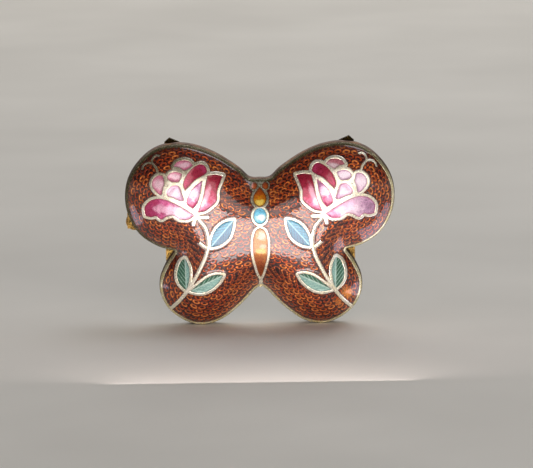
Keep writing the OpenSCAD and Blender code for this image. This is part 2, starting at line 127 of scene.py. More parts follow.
# The domed front
wholeOutline = wing["outline"] + [(-x, z) for x, z in wing["outline"][-2:0:-1]]
outlineLoop = smoothLoop(wholeOutline, wing["corners"], 0.3)
edgeStart = smoothLoop(wholeOutline, wing["corners"], 0.8)
edgeRun = np.roll(edgeStart, -1, axis=0) - edgeStart
edgeLength = np.linalg.norm(edgeRun, axis=1)
edgeRun = edgeRun / edgeLength[:, None]


def rimReach(points):
    out = []
    for part in np.array_split(points, max(1, len(points) // 3000)):
        rel = edgeStart[None] - part[:, None]
        s1 = (rel * edgeRun).sum(-1)
        s2 = s1 + edgeLength
        h = np.maximum(abs(rel[..., 0] * edgeRun[:, 1] - rel[..., 1] * edgeRun[:, 0]), 0.01)
        pull = abs(s2 / np.hypot(h, s2) - s1 / np.hypot(h, s1)) / h ** 2
        out.append(np.sqrt(2 / pull.sum(1)))
    return np.concatenate(out)


fullReach = rimReach(np.array([wing["crown"]], float))[0]


def domeHeight(points):
    t = np.minimum(1, rimReach(points) / fullReach)
    return wing["wall"] + wing["rise"] * (t * (2 - t)) ** wing["power"]


def domeNormal(points, step=0.05):
    ex, ez = np.array([step, 0]), np.array([0, step])
    hx = (domeHeight(points + ex) - domeHeight(points - ex)) / (2 * step)
    hz = (domeHeight(points + ez) - domeHeight(points - ez)) / (2 * step)
    out = np.stack([-hx, -np.ones(len(points)), -hz], 1)
    return out / np.linalg.norm(out, axis=1)[:, None]


# Triangles over the part of the plane that isInside accepts, with the loops as edges
def fillPlane(loops, spacing, isInside):
    edges, points = [], []
    for loop in loops:
        first = len(points)
        points += list(loop)
        edges += [(first + i, first + (i + 1) % len(loop)) for i in range(len(loop))]
    points = np.array(points)
    low, high = points.min(0), points.max(0)
    rows = np.arange(low[1], high[1], spacing * 0.866)
    grid = np.array([
        (x + (spacing / 2 if k % 2 else 0), z)
        for k, z in enumerate(rows) for x in np.arange(low[0], high[0], spacing)
    ])
    grid = grid[isInside(grid)]
    grid = grid[nearest(grid, points) > spacing * 0.6]
    everyPoint = np.concatenate([points, grid])
    made = delaunay_2d_cdt([Vector(p) for p in everyPoint], edges, [], 0, 1e-6, False)
    flat = np.array([tuple(v) for v in made[0]])
    tris = np.array([f for f in made[2] if len(f) == 3])
    a, b, c = flat[tris[:, 0]], flat[tris[:, 1]], flat[tris[:, 2]]
    size = ((b - a)[:, 0] * (c - a)[:, 1] - (b - a)[:, 1] * (c - a)[:, 0])
    tris[size < 0] = tris[size < 0][:, ::-1]
    keep = (abs(size) > 1e-7) & isInside((a + b + c) / 3)
    tris = tris[keep]
    used, back = np.unique(tris, return_inverse=True)
    return flat[used], back.reshape(-1, 3)


def borderEdges(tris):
    count = {}
    for a, b, c in tris:
        for edge in ((a, b), (b, c), (c, a)):
            count[edge] = count.get(edge, 0) + 1
    return [e for e in count if (e[1], e[0]) not in count]


# Makes a mesh object from points in millimetres, hides the model nodes that it stands for and puts it under its body
def makePiece(name, points, faces, material, nodes=(), body="brooch", sharp=40, weld=False, maps=None):
    mesh = bpy.data.meshes.new(name)
    mesh.from_pydata((np.array(points) * mm).tolist(), [], [list(map(int, f)) for f in faces])
    for label, values in (maps or {}).items():
        if np.ndim(values) == 1:
            mesh.attributes.new(label, "FLOAT", "POINT").data.foreach_set("value", np.array(values, "f"))
        else:
            corner = np.array([loop.vertex_index for loop in mesh.loops])
            layer = mesh.uv_layers.new(name=label)
            layer.data.foreach_set("uv", np.array(values, "f")[corner].ravel())
    tidyMesh(mesh, weld)
    piece = bpy.data.objects.new(name, mesh)
    bpy.context.collection.objects.link(piece)
    finishPiece(piece, material, nodes, body, sharp)
    return piece


def tidyMesh(mesh, weld=False):
    work = bmesh.new()
    work.from_mesh(mesh)
    if weld:
        bmesh.ops.remove_doubles(work, verts=work.verts, dist=0.002 * mm)
    bmesh.ops.recalc_face_normals(work, faces=work.faces)
    work.to_mesh(mesh)
    work.free()


def finishPiece(piece, material, nodes=(), body="brooch", sharp=40):
    piece.data.materials.clear()
    piece.data.materials.append(material)
    piece.data.shade_smooth()
    piece.data.set_sharp_from_angle(angle=math.radians(sharp))
    if nodes:
        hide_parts(*nodes)
    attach(piece, body)


# A layer that follows the dome, from its front depth to its back depth below the enamel's face
def makeLayer(name, flat, tris, front, back, material, nodes, flip=False, maps=None, sharp=40):
    height = domeHeight(flat)
    x = -flat[:, 0] if flip else flat[:, 0]
    n = len(flat)
    points = np.concatenate([
        np.stack([x, front - height, flat[:, 1]], 1),
        np.stack([x, back - height, flat[:, 1]], 1),
    ])
    sides = [(a, b, b + n, a + n) for a, b in borderEdges(tris)]
    faces = [tuple(t) for t in tris] + [tuple(t[::-1] + n) for t in tris] + sides
    doubled = {label: np.concatenate([v, v]) for label, v in (maps or {}).items()}
    return makePiece(name, points, faces, material, nodes, maps=doubled, sharp=sharp)


# Shader building
def newMaterial(name):
    material = bpy.data.materials.new(name)
    material.use_nodes = True
    tree = material.node_tree
    tree.nodes.clear()
    shader = tree.nodes.new("ShaderNodeBsdfPrincipled")
    output = tree.nodes.new("ShaderNodeOutputMaterial")
    tree.links.new(shader.outputs[0], output.inputs[0])
    return material, tree, shader


def plug(tree, socket, value):
    if isinstance(value, bpy.types.NodeSocket):
        tree.links.new(value, socket)
    elif isinstance(value, str):
        socket.default_value = colour(value)
    else:
        socket.default_value = value


def colour(code):
    parts = [int(code[i:i + 2], 16) / 255 for i in (1, 3, 5)]
    return [c / 12.92 if c <= 0.04045 else ((c + 0.055) / 1.055) ** 2.4 for c in parts] + [1]


def addNode(tree, kind, inputs=None, **settings):
    made = tree.nodes.new(kind)
    for key, value in settings.items():
        setattr(made, key, value)
    for key, value in (inputs or {}).items():
        plug(tree, made.inputs[key], value)
    return made


def calc(tree, operation, *values, clamp=False):
    made = addNode(tree, "ShaderNodeMath", operation=operation, use_clamp=clamp)
    for socket, value in zip(made.inputs, values):
        plug(tree, socket, value)
    return made.outputs[0]


def fade(tree, value, start, end, low=0.0, high=1.0):
    made = addNode(tree, "ShaderNodeMapRange", interpolation_type="SMOOTHSTEP", inputs={
        "Value": value, "From Min": start, "From Max": end, "To Min": low, "To Max": high})
    return made.outputs[0]


def blendColours(tree, amount, first, second, kind="MIX"):
    made = addNode(tree, "ShaderNodeMix", data_type="RGBA", blend_type=kind)
    plug(tree, made.inputs[0], amount)
    plug(tree, made.inputs[6], first)
    plug(tree, made.inputs[7], second)
    return made.outputs[2]


def colourRamp(tree, value, stops):
    made = addNode(tree, "ShaderNodeValToRGB", inputs={"Fac": value})
    elements = made.color_ramp.elements
    while len(elements) < len(stops):
        elements.new(0.5)
    for element, (place, code) in zip(elements, stops):
        element.position = place
        element.color = colour(code)
    return made.outputs[0]


def noise(tree, coords, scale, detail=3.0, rough=0.5, distort=0.0):
    made = addNode(tree, "ShaderNodeTexNoise", inputs={
        "Vector": coords, "Scale": scale, "Detail": detail, "Roughness": rough, "Distortion": distort})
    return made.outputs[0]


def bump(tree, height, distance, strength=1.0):
    made = addNode(tree, "ShaderNodeBump", inputs={"Height": height, "Distance": distance, "Strength": strength})
    return made.outputs[0]


def inMillimetres(tree):
    place = addNode(tree, "ShaderNodeTexCoord").outputs["Object"]
    return addNode(tree, "ShaderNodeVectorMath", inputs={0: place, "Scale": 1000.0}, operation="SCALE").outputs[0]


def stretched(tree, coords, stretch):
    return addNode(tree, "ShaderNodeMapping", inputs={"Vector": coords, "Scale": stretch}).outputs[0]


def attribute(tree, label):
    return addNode(tree, "ShaderNodeAttribute", attribute_name=label).outputs["Fac"]


def newGroup(name, inputs, outputs):
    group = bpy.data.node_groups.new(name, "ShaderNodeTree")
    for label, kind, value in inputs:
        socket = group.interface.new_socket(name=label, in_out="INPUT", socket_type="NodeSocket" + kind)
        if value is not None:
            socket.default_value = colour(value) if isinstance(value, str) else value
    for label, kind in outputs:
        group.interface.new_socket(name=label, in_out="OUTPUT", socket_type="NodeSocket" + kind)
    start = group.nodes.new("NodeGroupInput")
    end = group.nodes.new("NodeGroupOutput")
    return group, start.outputs, end.inputs


def useGroup(tree, group, inputs):
    made = addNode(tree, "ShaderNodeGroup", node_tree=group)
    for key, value in inputs.items():
        plug(tree, made.inputs[key], value)
    return made.outputs


# Polished gilding: pale and mottled, with dark flecks where the metal has pitted or tarnished; a painted shade
# amount mixes in the dark colour and thickens the flecks
def buildGilding():
    group, given, put = newGroup("polishedGilding", [
        ("Pale", "Color", "#e6cf8c"), ("Deep", "Color", "#b58d3c"), ("Tarnish and shade", "Color", "#4b3a1a"),
        ("Wear", "Float", 0.5), ("Grain", "Float", 1.0), ("Painted shade", "Float", 0.0),
    ], [("Color", "Color"), ("Roughness", "Float"), ("Height", "Float")])
    coords = addNode(group, "ShaderNodeVectorMath", inputs={0: inMillimetres(group), "Scale": given["Grain"]},
                     operation="SCALE").outputs[0]
    cloud = noise(group, coords, 0.9, 4.0, 0.6)
    fleck = noise(group, coords, 5.5, 5.0, 0.7)
    tone = blendColours(group, fade(group, cloud, 0.35, 0.7), given["Pale"], given["Deep"])
    # Painted shade: the shade amount thickens the dark flecks and mixes the tone towards the dark colour
    wearAndShade = calc(group, "ADD", given["Wear"], calc(group, "MULTIPLY", given["Painted shade"], 0.9))
    edge = calc(group, "SUBTRACT", 0.72, calc(group, "MULTIPLY", wearAndShade, 0.2))
    spots = fade(group, fleck, edge, calc(group, "ADD", edge, 0.06))
    tone = blendColours(group, calc(group, "MULTIPLY", given["Painted shade"], 0.6), tone, given["Tarnish and shade"])
    group.links.new(blendColours(group, spots, tone, given["Tarnish and shade"]), put["Color"])
    rough = calc(group, "ADD", fade(group, cloud, 0.3, 0.8, 0.2, 0.36), calc(group, "MULTIPLY", spots, 0.3))
    group.links.new(rough, put["Roughness"])
    group.links.new(calc(group, "SUBTRACT", calc(group, "MULTIPLY", fleck, 0.5), spots), put["Height"])
    return group


# Enamel fired over a foil: clouds, bright grains and small pits
def buildEnamelBody():
    group, given, put = newGroup("firedEnamel", [
        ("Cloud size", "Float", 1.6), ("Grain size", "Float", 5.0), ("Shift", "Float", 0.0),
    ], [("Cloud", "Float"), ("Grain", "Float"), ("Pits", "Float"), ("Height", "Float")])
    shift = addNode(group, "ShaderNodeCombineXYZ", inputs={"Y": given["Shift"]}).outputs[0]
    coords = addNode(group, "ShaderNodeVectorMath", inputs={0: inMillimetres(group), 1: shift},
                     operation="ADD").outputs[0]
    cloud = noise(group, coords, calc(group, "DIVIDE", 1.0, given["Cloud size"]), 3.0, 0.55, 0.4)
    grain = noise(group, coords, calc(group, "DIVIDE", 5.0, given["Grain size"]), 2.0, 0.6, 0.2)
    pit = addNode(group, "ShaderNodeTexVoronoi", feature="F1", inputs={"Vector": coords, "Scale": 1.1}).outputs[0]
    pits = fade(group, pit, 0.05, 0.09, 1.0, 0.0)
    group.links.new(cloud, put["Cloud"])
    group.links.new(grain, put["Grain"])
    group.links.new(pits, put["Pits"])
    group.links.new(calc(group, "SUBTRACT", grain, pits), put["Height"])
    return group


gildingGroup = buildGilding()
enamelGroup = buildEnamelBody()


# Painted shade on the gilding: it darkens towards the top, and on the left before the right: slope, start and end
# say where
def gildingMaterial(name, pale, deep, tarnishAndShade, wear, grain, metal, slope, start, end):
    material, tree, shader = newMaterial(name)
    place = inMillimetres(tree)
    split = addNode(tree, "ShaderNodeSeparateXYZ", inputs={0: place}).outputs
    level = calc(tree, "SUBTRACT", split[2], calc(tree, "MULTIPLY", split[0], slope))
    uneven = calc(tree, "SUBTRACT", noise(tree, place, 0.8, 3.0), 0.5)
    level = calc(tree, "ADD", level, calc(tree, "MULTIPLY", uneven, 9.0))
    out = useGroup(tree, gildingGroup, {
        "Pale": pale, "Deep": deep, "Tarnish and shade": tarnishAndShade, "Wear": wear, "Grain": grain,
        "Painted shade": fade(tree, level, start, end)})
    plug(tree, shader.inputs["Base Color"], out["Color"])
    plug(tree, shader.inputs["Roughness"], out["Roughness"])
    plug(tree, shader.inputs["Normal"], bump(tree, out["Height"], 0.00003, 0.35))
    shader.inputs["Metallic"].default_value = metal
    return material


# Transparent amber enamel over stamped copper, with its stamped scales in the attributes of the piece. The rings are
# the lighter colour of the stamped ridges with painted highlights on top, brighter on their outer side
def groundMaterial():
    material, tree, shader = newMaterial("amberEnamel")
    coords = inMillimetres(tree)
    fired = useGroup(tree, enamelGroup, {"Cloud size": 2.6, "Grain size": 1.4})
    scale, border, pick, gap = (attribute(tree, label) for label in ("scale", "border", "pick", "wireGap"))
    rough = noise(tree, coords, 2.6, 3.0, 0.6)
    uneven = calc(tree, "SUBTRACT", rough, 0.5)
    wavy = calc(tree, "ADD", scale, calc(tree, "MULTIPLY", uneven, 0.22))
    away = calc(tree, "ABSOLUTE", calc(tree, "SUBTRACT", wavy, 0.36))
    ring = fade(tree, away, 0.05, 0.17, 1.0, 0.0)
    seam = fade(tree, calc(tree, "ADD", border, calc(tree, "MULTIPLY", uneven, 0.3)), 0.02, 0.16, 0.9, 0.0)
    lit = calc(tree, "SUBTRACT", ring, seam, clamp=True)
    # Painted highlight: the rings are brighter on their outer side
    lit = calc(tree, "MULTIPLY", lit, fade(tree, attribute(tree, "outer"), -0.3, 0.15, 0.35, 1.0))
    shade = calc(tree, "ADD", calc(tree, "MULTIPLY", pick, 0.45), calc(tree, "MULTIPLY", fired["Cloud"], 0.55))
    hollow = colourRamp(tree, shade, [(0.25, "#180301"), (0.5, "#380b02"), (0.8, "#6e1d05")])
    glint = calc(tree, "ADD", calc(tree, "MULTIPLY", pick, 0.3), calc(tree, "MULTIPLY", fired["Grain"], 0.7))
    bright = colourRamp(tree, glint, [(0.28, "#8f2606"), (0.48, "#d9550f"), (0.66, "#ff9a44")])
    base = blendColours(tree, lit, hollow, bright)
    # Two painted orange glints on the lower right lobe
    for x, z, size, amount in ((16, 6.2, 1.6, 0.85), (14.4, 4.6, 1.1, 0.45)):
        flat = addNode(tree, "ShaderNodeVectorMath", operation="MULTIPLY",
                       inputs={0: coords, 1: (1, 0, 1)}).outputs[0]
        apart = addNode(tree, "ShaderNodeVectorMath", operation="DISTANCE",
                        inputs={0: flat, 1: (x, 0, z)}).outputs["Value"]
        spot = fade(tree, calc(tree, "ADD", apart, calc(tree, "MULTIPLY", uneven, 2.4)), 0.2, size, amount, 0.0)
        base = blendColours(tree, spot, base, "#ff9e3c")
    base = blendColours(tree, fade(tree, gap, 0.06, 0.4, 0.75, 0.0), base, "#4a1206")
    base = blendColours(tree, calc(tree, "MULTIPLY", fired["Pits"], 0.7), base, "#160503")
    plug(tree, shader.inputs["Base Color"], base)
    plug(tree, shader.inputs["Metallic"], fade(tree, lit, 0.0, 1.0, 0.3, 0.7))
    plug(tree, shader.inputs["Roughness"], fade(tree, rough, 0.3, 0.7, 0.28, 0.45))
    height = calc(tree, "ADD", lit, calc(tree, "MULTIPLY", fired["Grain"], 0.4))
    plug(tree, shader.inputs["Normal"], bump(tree, height, 0.00016, 0.8))
    shader.inputs["Coat Weight"].default_value = 1
    shader.inputs["Coat Roughness"].default_value = 0.07
    shader.inputs["Coat IOR"].default_value = 1.62
    return material


# Enamel of a petal or leaf, with a tone along it, a darker edge, colour patches and painted highlight patches, and
# veins
def cellMaterial(name, look):
    material, tree, shader = newMaterial(name)
    fired = useGroup(tree, enamelGroup, {
        "Cloud size": look.get("cloud", 0.9), "Grain size": look.get("grain", 0.9), "Shift": look.get("shift", 0.0)})
    place = addNode(tree, "ShaderNodeSeparateXYZ", inputs={
        0: addNode(tree, "ShaderNodeUVMap", uv_map="cellMap").outputs[0]}).outputs
    along, across = place[0], calc(tree, "SUBTRACT", place[1], 0.5)
    wobble = calc(tree, "MULTIPLY", calc(tree, "SUBTRACT", fired["Cloud"], 0.5), look.get("wobble", 0.8))
    base = colourRamp(tree, calc(tree, "ADD", along, wobble), look["stops"])
    if "otherSide" in look:
        other = colourRamp(tree, calc(tree, "ADD", along, wobble), look["otherSide"])
        base = blendColours(tree, fade(tree, across, -0.012, 0.012), base, other)
    # Patches: near-white ones are painted highlights, coloured ones are colour patches of the enamel itself
    for a0, c0, ra, rc, code, amount in look.get("patchesAndHighlights", []):
        da = calc(tree, "DIVIDE", calc(tree, "SUBTRACT", along, a0), ra)
        dc = calc(tree, "DIVIDE", calc(tree, "SUBTRACT", across, c0), rc)
        apart = calc(tree, "SQRT", calc(tree, "ADD", calc(tree, "MULTIPLY", da, da), calc(tree, "MULTIPLY", dc, dc)))
        spot = fade(tree, calc(tree, "ADD", apart, calc(tree, "MULTIPLY", wobble, 1.4)), 0.35, 1.0, amount, 0.0)
        base = blendColours(tree, spot, base, code)
    if "veins" in look:
        vein = look["veins"]
        slant = calc(tree, "SUBTRACT", calc(tree, "MULTIPLY", along, vein["count"]),
                     calc(tree, "MULTIPLY", calc(tree, "ABSOLUTE", across), vein["slant"]))
        comb = calc(tree, "ABSOLUTE", calc(tree, "SUBTRACT", calc(tree, "FRACT", slant), 0.5))
        side = fade(tree, calc(tree, "ADD", comb, calc(tree, "MULTIPLY", wobble, 0.12)), 0.03, 0.18, 0.75, 0.0)
        middle = fade(tree, calc(tree, "ABSOLUTE", across), 0.005, 0.018, 0.85, 0.0)
        base = blendColours(tree, side, base, vein["side"])
        base = blendColours(tree, middle, base, vein["middle"])
    grains = fade(tree, fired["Grain"], 0.42, 0.66, 0.0, look.get("sparkle", 0.75))
    base = blendColours(tree, grains, base, look.get("grainColour", "#ffe9f2"), "SOFT_LIGHT")
    gap = attribute(tree, "wireGap")
    edge = calc(tree, "ADD", gap, calc(tree, "MULTIPLY", wobble, 0.3))
    base = blendColours(tree, fade(tree, edge, 0.02, look.get("edgeWidth", 0.3), look.get("edgeAmount", 0.8), 0.0),
                        base, look["edge"])
    base = blendColours(tree, calc(tree, "MULTIPLY", fired["Pits"], 0.5), base, look["edge"])
    plug(tree, shader.inputs["Base Color"], base)
    plug(tree, shader.inputs["Roughness"], fade(tree, fired["Grain"], 0.3, 0.7, 0.25, 0.45))
    plug(tree, shader.inputs["Normal"], bump(tree, fired["Height"], 0.00006, 0.5))
    shader.inputs["Metallic"].default_value = look.get("metal", 0.3)
    shader.inputs["Coat Weight"].default_value = 1
    shader.inputs["Coat Roughness"].default_value = 0.05
    shader.inputs["Coat IOR"].default_value = 1.48
    return material


# Geometry Nodes: a flat wire with rounded shoulders, swept along routes that lie on the dome
def buildWireTree():
    tree = bpy.data.node_groups.new("flatWire", "GeometryNodeTree")
    tree.interface.new_socket(name="Routes", in_out="INPUT", socket_type="NodeSocketGeometry")
    for label in ("Width", "Depth", "Shoulder", "Proud"):
        tree.interface.new_socket(name=label, in_out="INPUT", socket_type="NodeSocketFloat")
    tree.interface.new_socket(name="Finish", in_out="INPUT", socket_type="NodeSocketMaterial")
    tree.interface.new_socket(name="Wire", in_out="OUTPUT", socket_type="NodeSocketGeometry")
    given = tree.nodes.new("NodeGroupInput").outputs
    put = tree.nodes.new("NodeGroupOutput").inputs
    route = addNode(tree, "GeometryNodeMeshToCurve", inputs={0: given["Routes"]}).outputs[0]
    girth = addNode(tree, "GeometryNodeInputNamedAttribute", data_type="FLOAT")
    girth.inputs["Name"].default_value = "girth"
    facing = addNode(tree, "GeometryNodeInputNamedAttribute", data_type="FLOAT_VECTOR")
    facing.inputs["Name"].default_value = "facing"
    sized = addNode(tree, "GeometryNodeSetCurveRadius", inputs={"Curve": route, "Radius": girth.outputs[0]})
    turned = addNode(tree, "GeometryNodeSetCurveNormal", mode="FREE", inputs={
        "Curve": sized.outputs[0], "Normal": facing.outputs[0]})
    profile = addNode(tree, "GeometryNodeCurvePrimitiveQuadrilateral", inputs={
        "Width": given["Depth"], "Height": given["Width"]})
    rounded = addNode(tree, "GeometryNodeFilletCurve", inputs={
        "Curve": profile.outputs[0], "Radius": given["Shoulder"]})
    setFilletRound(tree, rounded)
    drop = calc(tree, "SUBTRACT", given["Proud"], calc(tree, "MULTIPLY", given["Depth"], 0.5))
    shift = addNode(tree, "ShaderNodeCombineXYZ", inputs={"X": drop})
    lowered = addNode(tree, "GeometryNodeTransform", inputs={
        "Geometry": rounded.outputs[0], "Translation": shift.outputs[0]})
    swept = addNode(tree, "GeometryNodeCurveToMesh", inputs={
        "Curve": turned.outputs[0], "Profile Curve": lowered.outputs[0], "Fill Caps": True})
    real = addNode(tree, "GeometryNodeRealizeInstances", inputs={0: swept.outputs[0]})
    finish = addNode(tree, "GeometryNodeSetMaterial", inputs={
        "Geometry": real.outputs[0], "Material": given["Finish"]})
    tree.links.new(finish.outputs[0], put[0])
    return tree


def setFilletRound(tree, fillet):
    if "Count" in fillet.inputs:
        fillet.inputs["Count"].default_value = 3
    if hasattr(fillet, "mode"):
        fillet.mode = "POLY"
    else:
        fillet.inputs["Mode"].default_value = "Poly"


wireTree = buildWireTree()


# Routes are (points, isClosed, girths) in the plane, and lie at a depth below the enamel's face
def sweepWires(name, routes, sizes, material, nodes, flip=False):
    points, facing, girth, edges = [], [], [], []
    for route, isClosed, girths in routes:
        first = len(points)
        height = domeHeight(route)
        points += np.stack([route[:, 0], -height, route[:, 1]], 1).tolist()
        facing += domeNormal(route).tolist()
        girth += list(girths)
        n = len(route)
        edges += [(first + i, first + (i + 1) % n) for i in range(n if isClosed else n - 1)]
    points, facing = np.array(points), np.array(facing)
    if flip:
        points[:, 0] *= -1
        facing[:, 0] *= -1
    mesh = bpy.data.meshes.new(name + "Routes")
    mesh.from_pydata((points * mm).tolist(), edges, [])
    mesh.attributes.new("facing", "FLOAT_VECTOR", "POINT").data.foreach_set("vector", facing.ravel())
    mesh.attributes.new("girth", "FLOAT", "POINT").data.foreach_set("value", np.array(girth, "f"))
    guide = bpy.data.objects.new(name + "Guide", mesh)
    bpy.context.collection.objects.link(guide)
    modifier = guide.modifiers.new("flatWire", "NODES")
    modifier.node_group = wireTree
    values = {"Width": sizes["width"] * mm, "Depth": sizes["depth"] * mm, "Shoulder": sizes["shoulder"] * mm,
              "Proud": sizes["proud"] * mm, "Finish": material}
    for item in wireTree.interface.items_tree:
        if item.in_out == "INPUT" and item.name in values:
            modifier[item.identifier] = values[item.name]
    bpy.context.view_layer.update()
    evaluated = guide.evaluated_get(bpy.context.evaluated_depsgraph_get())
    made = bpy.data.meshes.new_from_object(evaluated)
    made.name = name
    guide.modifiers.clear()
    bpy.data.objects.remove(guide)
    for old in list(made.attributes):
        if old.name in ("facing", "girth"):
            made.attributes.remove(old)
    tidyMesh(made, True)
    piece = bpy.data.objects.new(name, made)
    bpy.context.collection.objects.link(piece)
    finishPiece(piece, material, nodes, sharp=50)
    return piece


def steadyGirth(route, width):
    run = np.concatenate([[0], np.cumsum(np.linalg.norm(np.diff(route, axis=0), axis=1))])
    near = np.minimum(run, run[-1] - run) / (width / 2)
    return np.sqrt(np.maximum(0.05, 1 - (1 - np.clip(near, 0, 1)) ** 2))


# Cells of the right wing. The left wing is its mirror image. The near-white patches in their looks are painted
# highlights; the coloured patches are the colour of the enamel itself.
pinkLook = {
    "stops": [(0.0, "#b9647f"), (0.5, "#d990a8"), (1.0, "#c4708b")], "edge": "#9a3f5c", "edgeAmount": 0.7,
    "edgeWidth": 0.3, "patchesAndHighlights": [(0.5, 0.0, 0.35, 0.18, "#f3d3de", 0.7)],
}
petals = {
    "lower": {
        "loop": [
            (12.2, 21.5), (13.3, 22.3), (14.8, 23.2), (16.4, 24), (18.4, 24.6), (20.2, 24.2), (21.3, 22.9),
            (21.2, 21.3), (20.2, 21.1), (19.2, 21.3), (18.3, 20.7), (17.2, 21.3), (16, 21.5), (14.9, 20.8),
            (13.4, 20.7),
        ],
        "corners": (0, 7), "axis": ((12.2, 21.3), (21.3, 22.6)),
        "look": {
            "stops": [(0.0, "#b85f8e"), (0.25, "#d79fc0"), (0.55, "#dcb9d2"), (0.85, "#b98fb0"), (1.0, "#94708c")],
            "edge": "#a8386c", "edgeAmount": 0.6, "shift": 3.0,
            "patchesAndHighlights": [(0.5, 0.02, 0.32, 0.14, "#f4dfee", 0.7), (0.86, -0.2, 0.09, 0.1, "#9c1f3f", 0.8),
                       (0.55, -0.2, 0.3, 0.1, "#c0447c", 0.7), (0.2, -0.08, 0.16, 0.12, "#b23a72", 0.6)],
        },
        "leftLook": {
            "stops": [(0.0, "#d9a6c6"), (0.3, "#e6bfd8"), (0.55, "#c65a8d"), (0.8, "#a32a5e"), (1.0, "#9a1f4c")],
            "edge": "#8b1a3c", "edgeAmount": 0.7, "shift": 8.0,
            "patchesAndHighlights": [(0.42, 0.03, 0.34, 0.14, "#f0d3e6", 0.7), (0.72, 0.05, 0.14, 0.1, "#f0b8cf", 0.6),
                       (0.6, -0.2, 0.34, 0.09, "#a3224f", 0.7)],
        },
    },
    "inner": {
        "loop": [
            (6.8, 28.5), (8.2, 28.8), (9.6, 28.7), (10, 27), (10.4, 25), (11, 23.3), (11.5, 22.1),
            (10.2, 22.3), (8.9, 23.2), (8, 24.2), (7.9, 25.8), (7.5, 27),
        ],
        "corners": (0, 2, 6), "axis": ((8.3, 28.8), (10.8, 22.2)),
        "look": {
            "stops": [(0.0, "#7d1428"), (0.3, "#961c38"), (0.55, "#b23458"), (0.78, "#d27a9c"), (1.0, "#b0416c")],
            "edge": "#7a1028", "edgeAmount": 0.75, "shift": 12.0, "grainColour": "#ffc4da",
            "patchesAndHighlights": [(0.55, 0.02, 0.34, 0.08, "#f3c4d5", 0.6), (0.78, 0.05, 0.14, 0.12, "#f6dde8", 0.7)],
        },
    },
    "narrow": {
        "loop": [(10.6, 27.9), (11.9, 26.9), (12.9, 25.7), (13.5, 23.8), (12.4, 22.8), (11.6, 23.8), (11, 25.6)],
        "corners": (0, 4), "axis": ((10.8, 27.8), (12.9, 23)),
        "look": {
            "stops": [(0.0, "#7d3c6a"), (0.25, "#b377a3"), (0.5, "#e4c3d9"), (0.75, "#c4517f"), (1.0, "#a02554")],
            "edge": "#8c2350", "edgeAmount": 0.65, "shift": 17.0,
            "patchesAndHighlights": [(0.5, 0.02, 0.25, 0.08, "#f2dcea", 0.7)],
        },
    },
    "crown": {
        "loop": [
            (9.7, 29.5), (10.2, 30.5), (11.2, 30.7), (12.5, 30), (13.6, 28.7), (14.1, 27.2), (13.8, 26.2),
            (12.8, 27.2), (11.7, 28.2), (10.2, 28.9),
        ],
        "corners": (6,), "axis": ((9.8, 29.9), (13.9, 26.6)),
        "look": {
            "stops": [(0.0, "#a5355c"), (0.3, "#8b1a35"), (0.6, "#971f3d"), (0.85, "#b5375e"), (1.0, "#b5375e")],
            "edge": "#74102a", "edgeAmount": 0.7, "shift": 21.0, "grainColour": "#ffc4da",
            "patchesAndHighlights": [(0.5, -0.08, 0.36, 0.07, "#dc7d9f", 0.75)],
        },
    },
    "top": {
        "loop": [
            (12.3, 30.6), (13, 31.3), (14.1, 31.5), (15.2, 31.2), (15.8, 30.5), (14.8, 30.3), (13.9, 29.8),
            (13.1, 30.1),
        ],
        "corners": (0, 4), "axis": ((14.2, 31.5), (13.9, 29.8)),
        "look": {
            "stops": [(0.0, "#a95f68"), (0.4, "#bd7480"), (0.8, "#dfb4bd"), (1.0, "#d9a4b0")],
            "edge": "#8c4450", "edgeAmount": 0.7, "shift": 25.0,
            "patchesAndHighlights": [(0.75, 0.0, 0.3, 0.2, "#f6e9ee", 0.6)],
        },
        "leftLook": dict(pinkLook, shift=70.0),
    },
    "small": {
        "loop": [
            (14.35, 29.15), (15.4, 29.5), (16.5, 29.25), (17, 28.5), (16.4, 27.85), (15.1, 27.75), (14.6, 28.4),
        ],
        "corners": (0,), "axis": ((15.4, 29.5), (15.7, 27.8)),
        "look": {
            "stops": [(0.0, "#c9a2c0"), (0.5, "#ead7e6"), (1.0, "#d9b8d0")],
            "edge": "#a06a90", "edgeAmount": 0.75, "edgeWidth": 0.35, "shift": 28.0,
            "patchesAndHighlights": [(0.5, 0.0, 0.35, 0.2, "#f3e3f0", 0.6)],
        },
        "leftLook": dict(pinkLook, shift=73.0),
    },
    "heart": {
        "loop": [
            (15, 26.9), (16.2, 27), (17.1, 26), (17, 25.2), (15.9, 24.8), (14.8, 24.3), (14.1, 24.4), (14.4, 25.5),
        ],
        "corners": (), "axis": ((15.8, 27), (15, 24.4)),
        "look": {
            "stops": [(0.0, "#c79fbd"), (0.5, "#dcc0d5"), (1.0, "#cda3c2")],
            "edge": "#a3557f", "edgeAmount": 0.75, "edgeWidth": 0.35, "shift": 33.0,
            "patchesAndHighlights": [(0.55, 0.0, 0.4, 0.24, "#f0dbe8", 0.6)],
        },
    },
    "outer": {
        "loop": [
            (17.9, 28.8), (18.8, 28.8), (19.7, 28), (19.8, 26.9), (19, 25.8), (18.2, 25.4), (17.9, 26.6),
            (17.6, 27.5),
        ],
        "corners": (0,), "axis": ((18.5, 28.9), (18.5, 25.5)),
        "look": {
            "stops": [(0.0, "#c7a0bd"), (0.5, "#e6cfe0"), (1.0, "#d2a8c6")],
            "edge": "#9c6489", "edgeAmount": 0.75, "edgeWidth": 0.35, "shift": 37.0,
            "patchesAndHighlights": [(0.5, 0.03, 0.36, 0.16, "#f0deec", 0.6)],
        },
        "leftLook": dict(pinkLook, shift=77.0),
    },
}
greenLook = {
    "stops": [(0.0, "#28503c"), (0.5, "#356650"), (1.0, "#2b5842")],
    "otherSide": [(0.0, "#5f8c84"), (0.5, "#86b0a8"), (1.0, "#6b9890")],
    "edge": "#2b4f45", "edgeAmount": 0.55, "edgeWidth": 0.22, "metal": 0.2, "cloud": 0.7, "sparkle": 0.6,
    "grainColour": "#f0fff4", "veins": {"count": 7.0, "slant": 16.0, "side": "#9fc4b6", "middle": "#b4d0c6"},
}
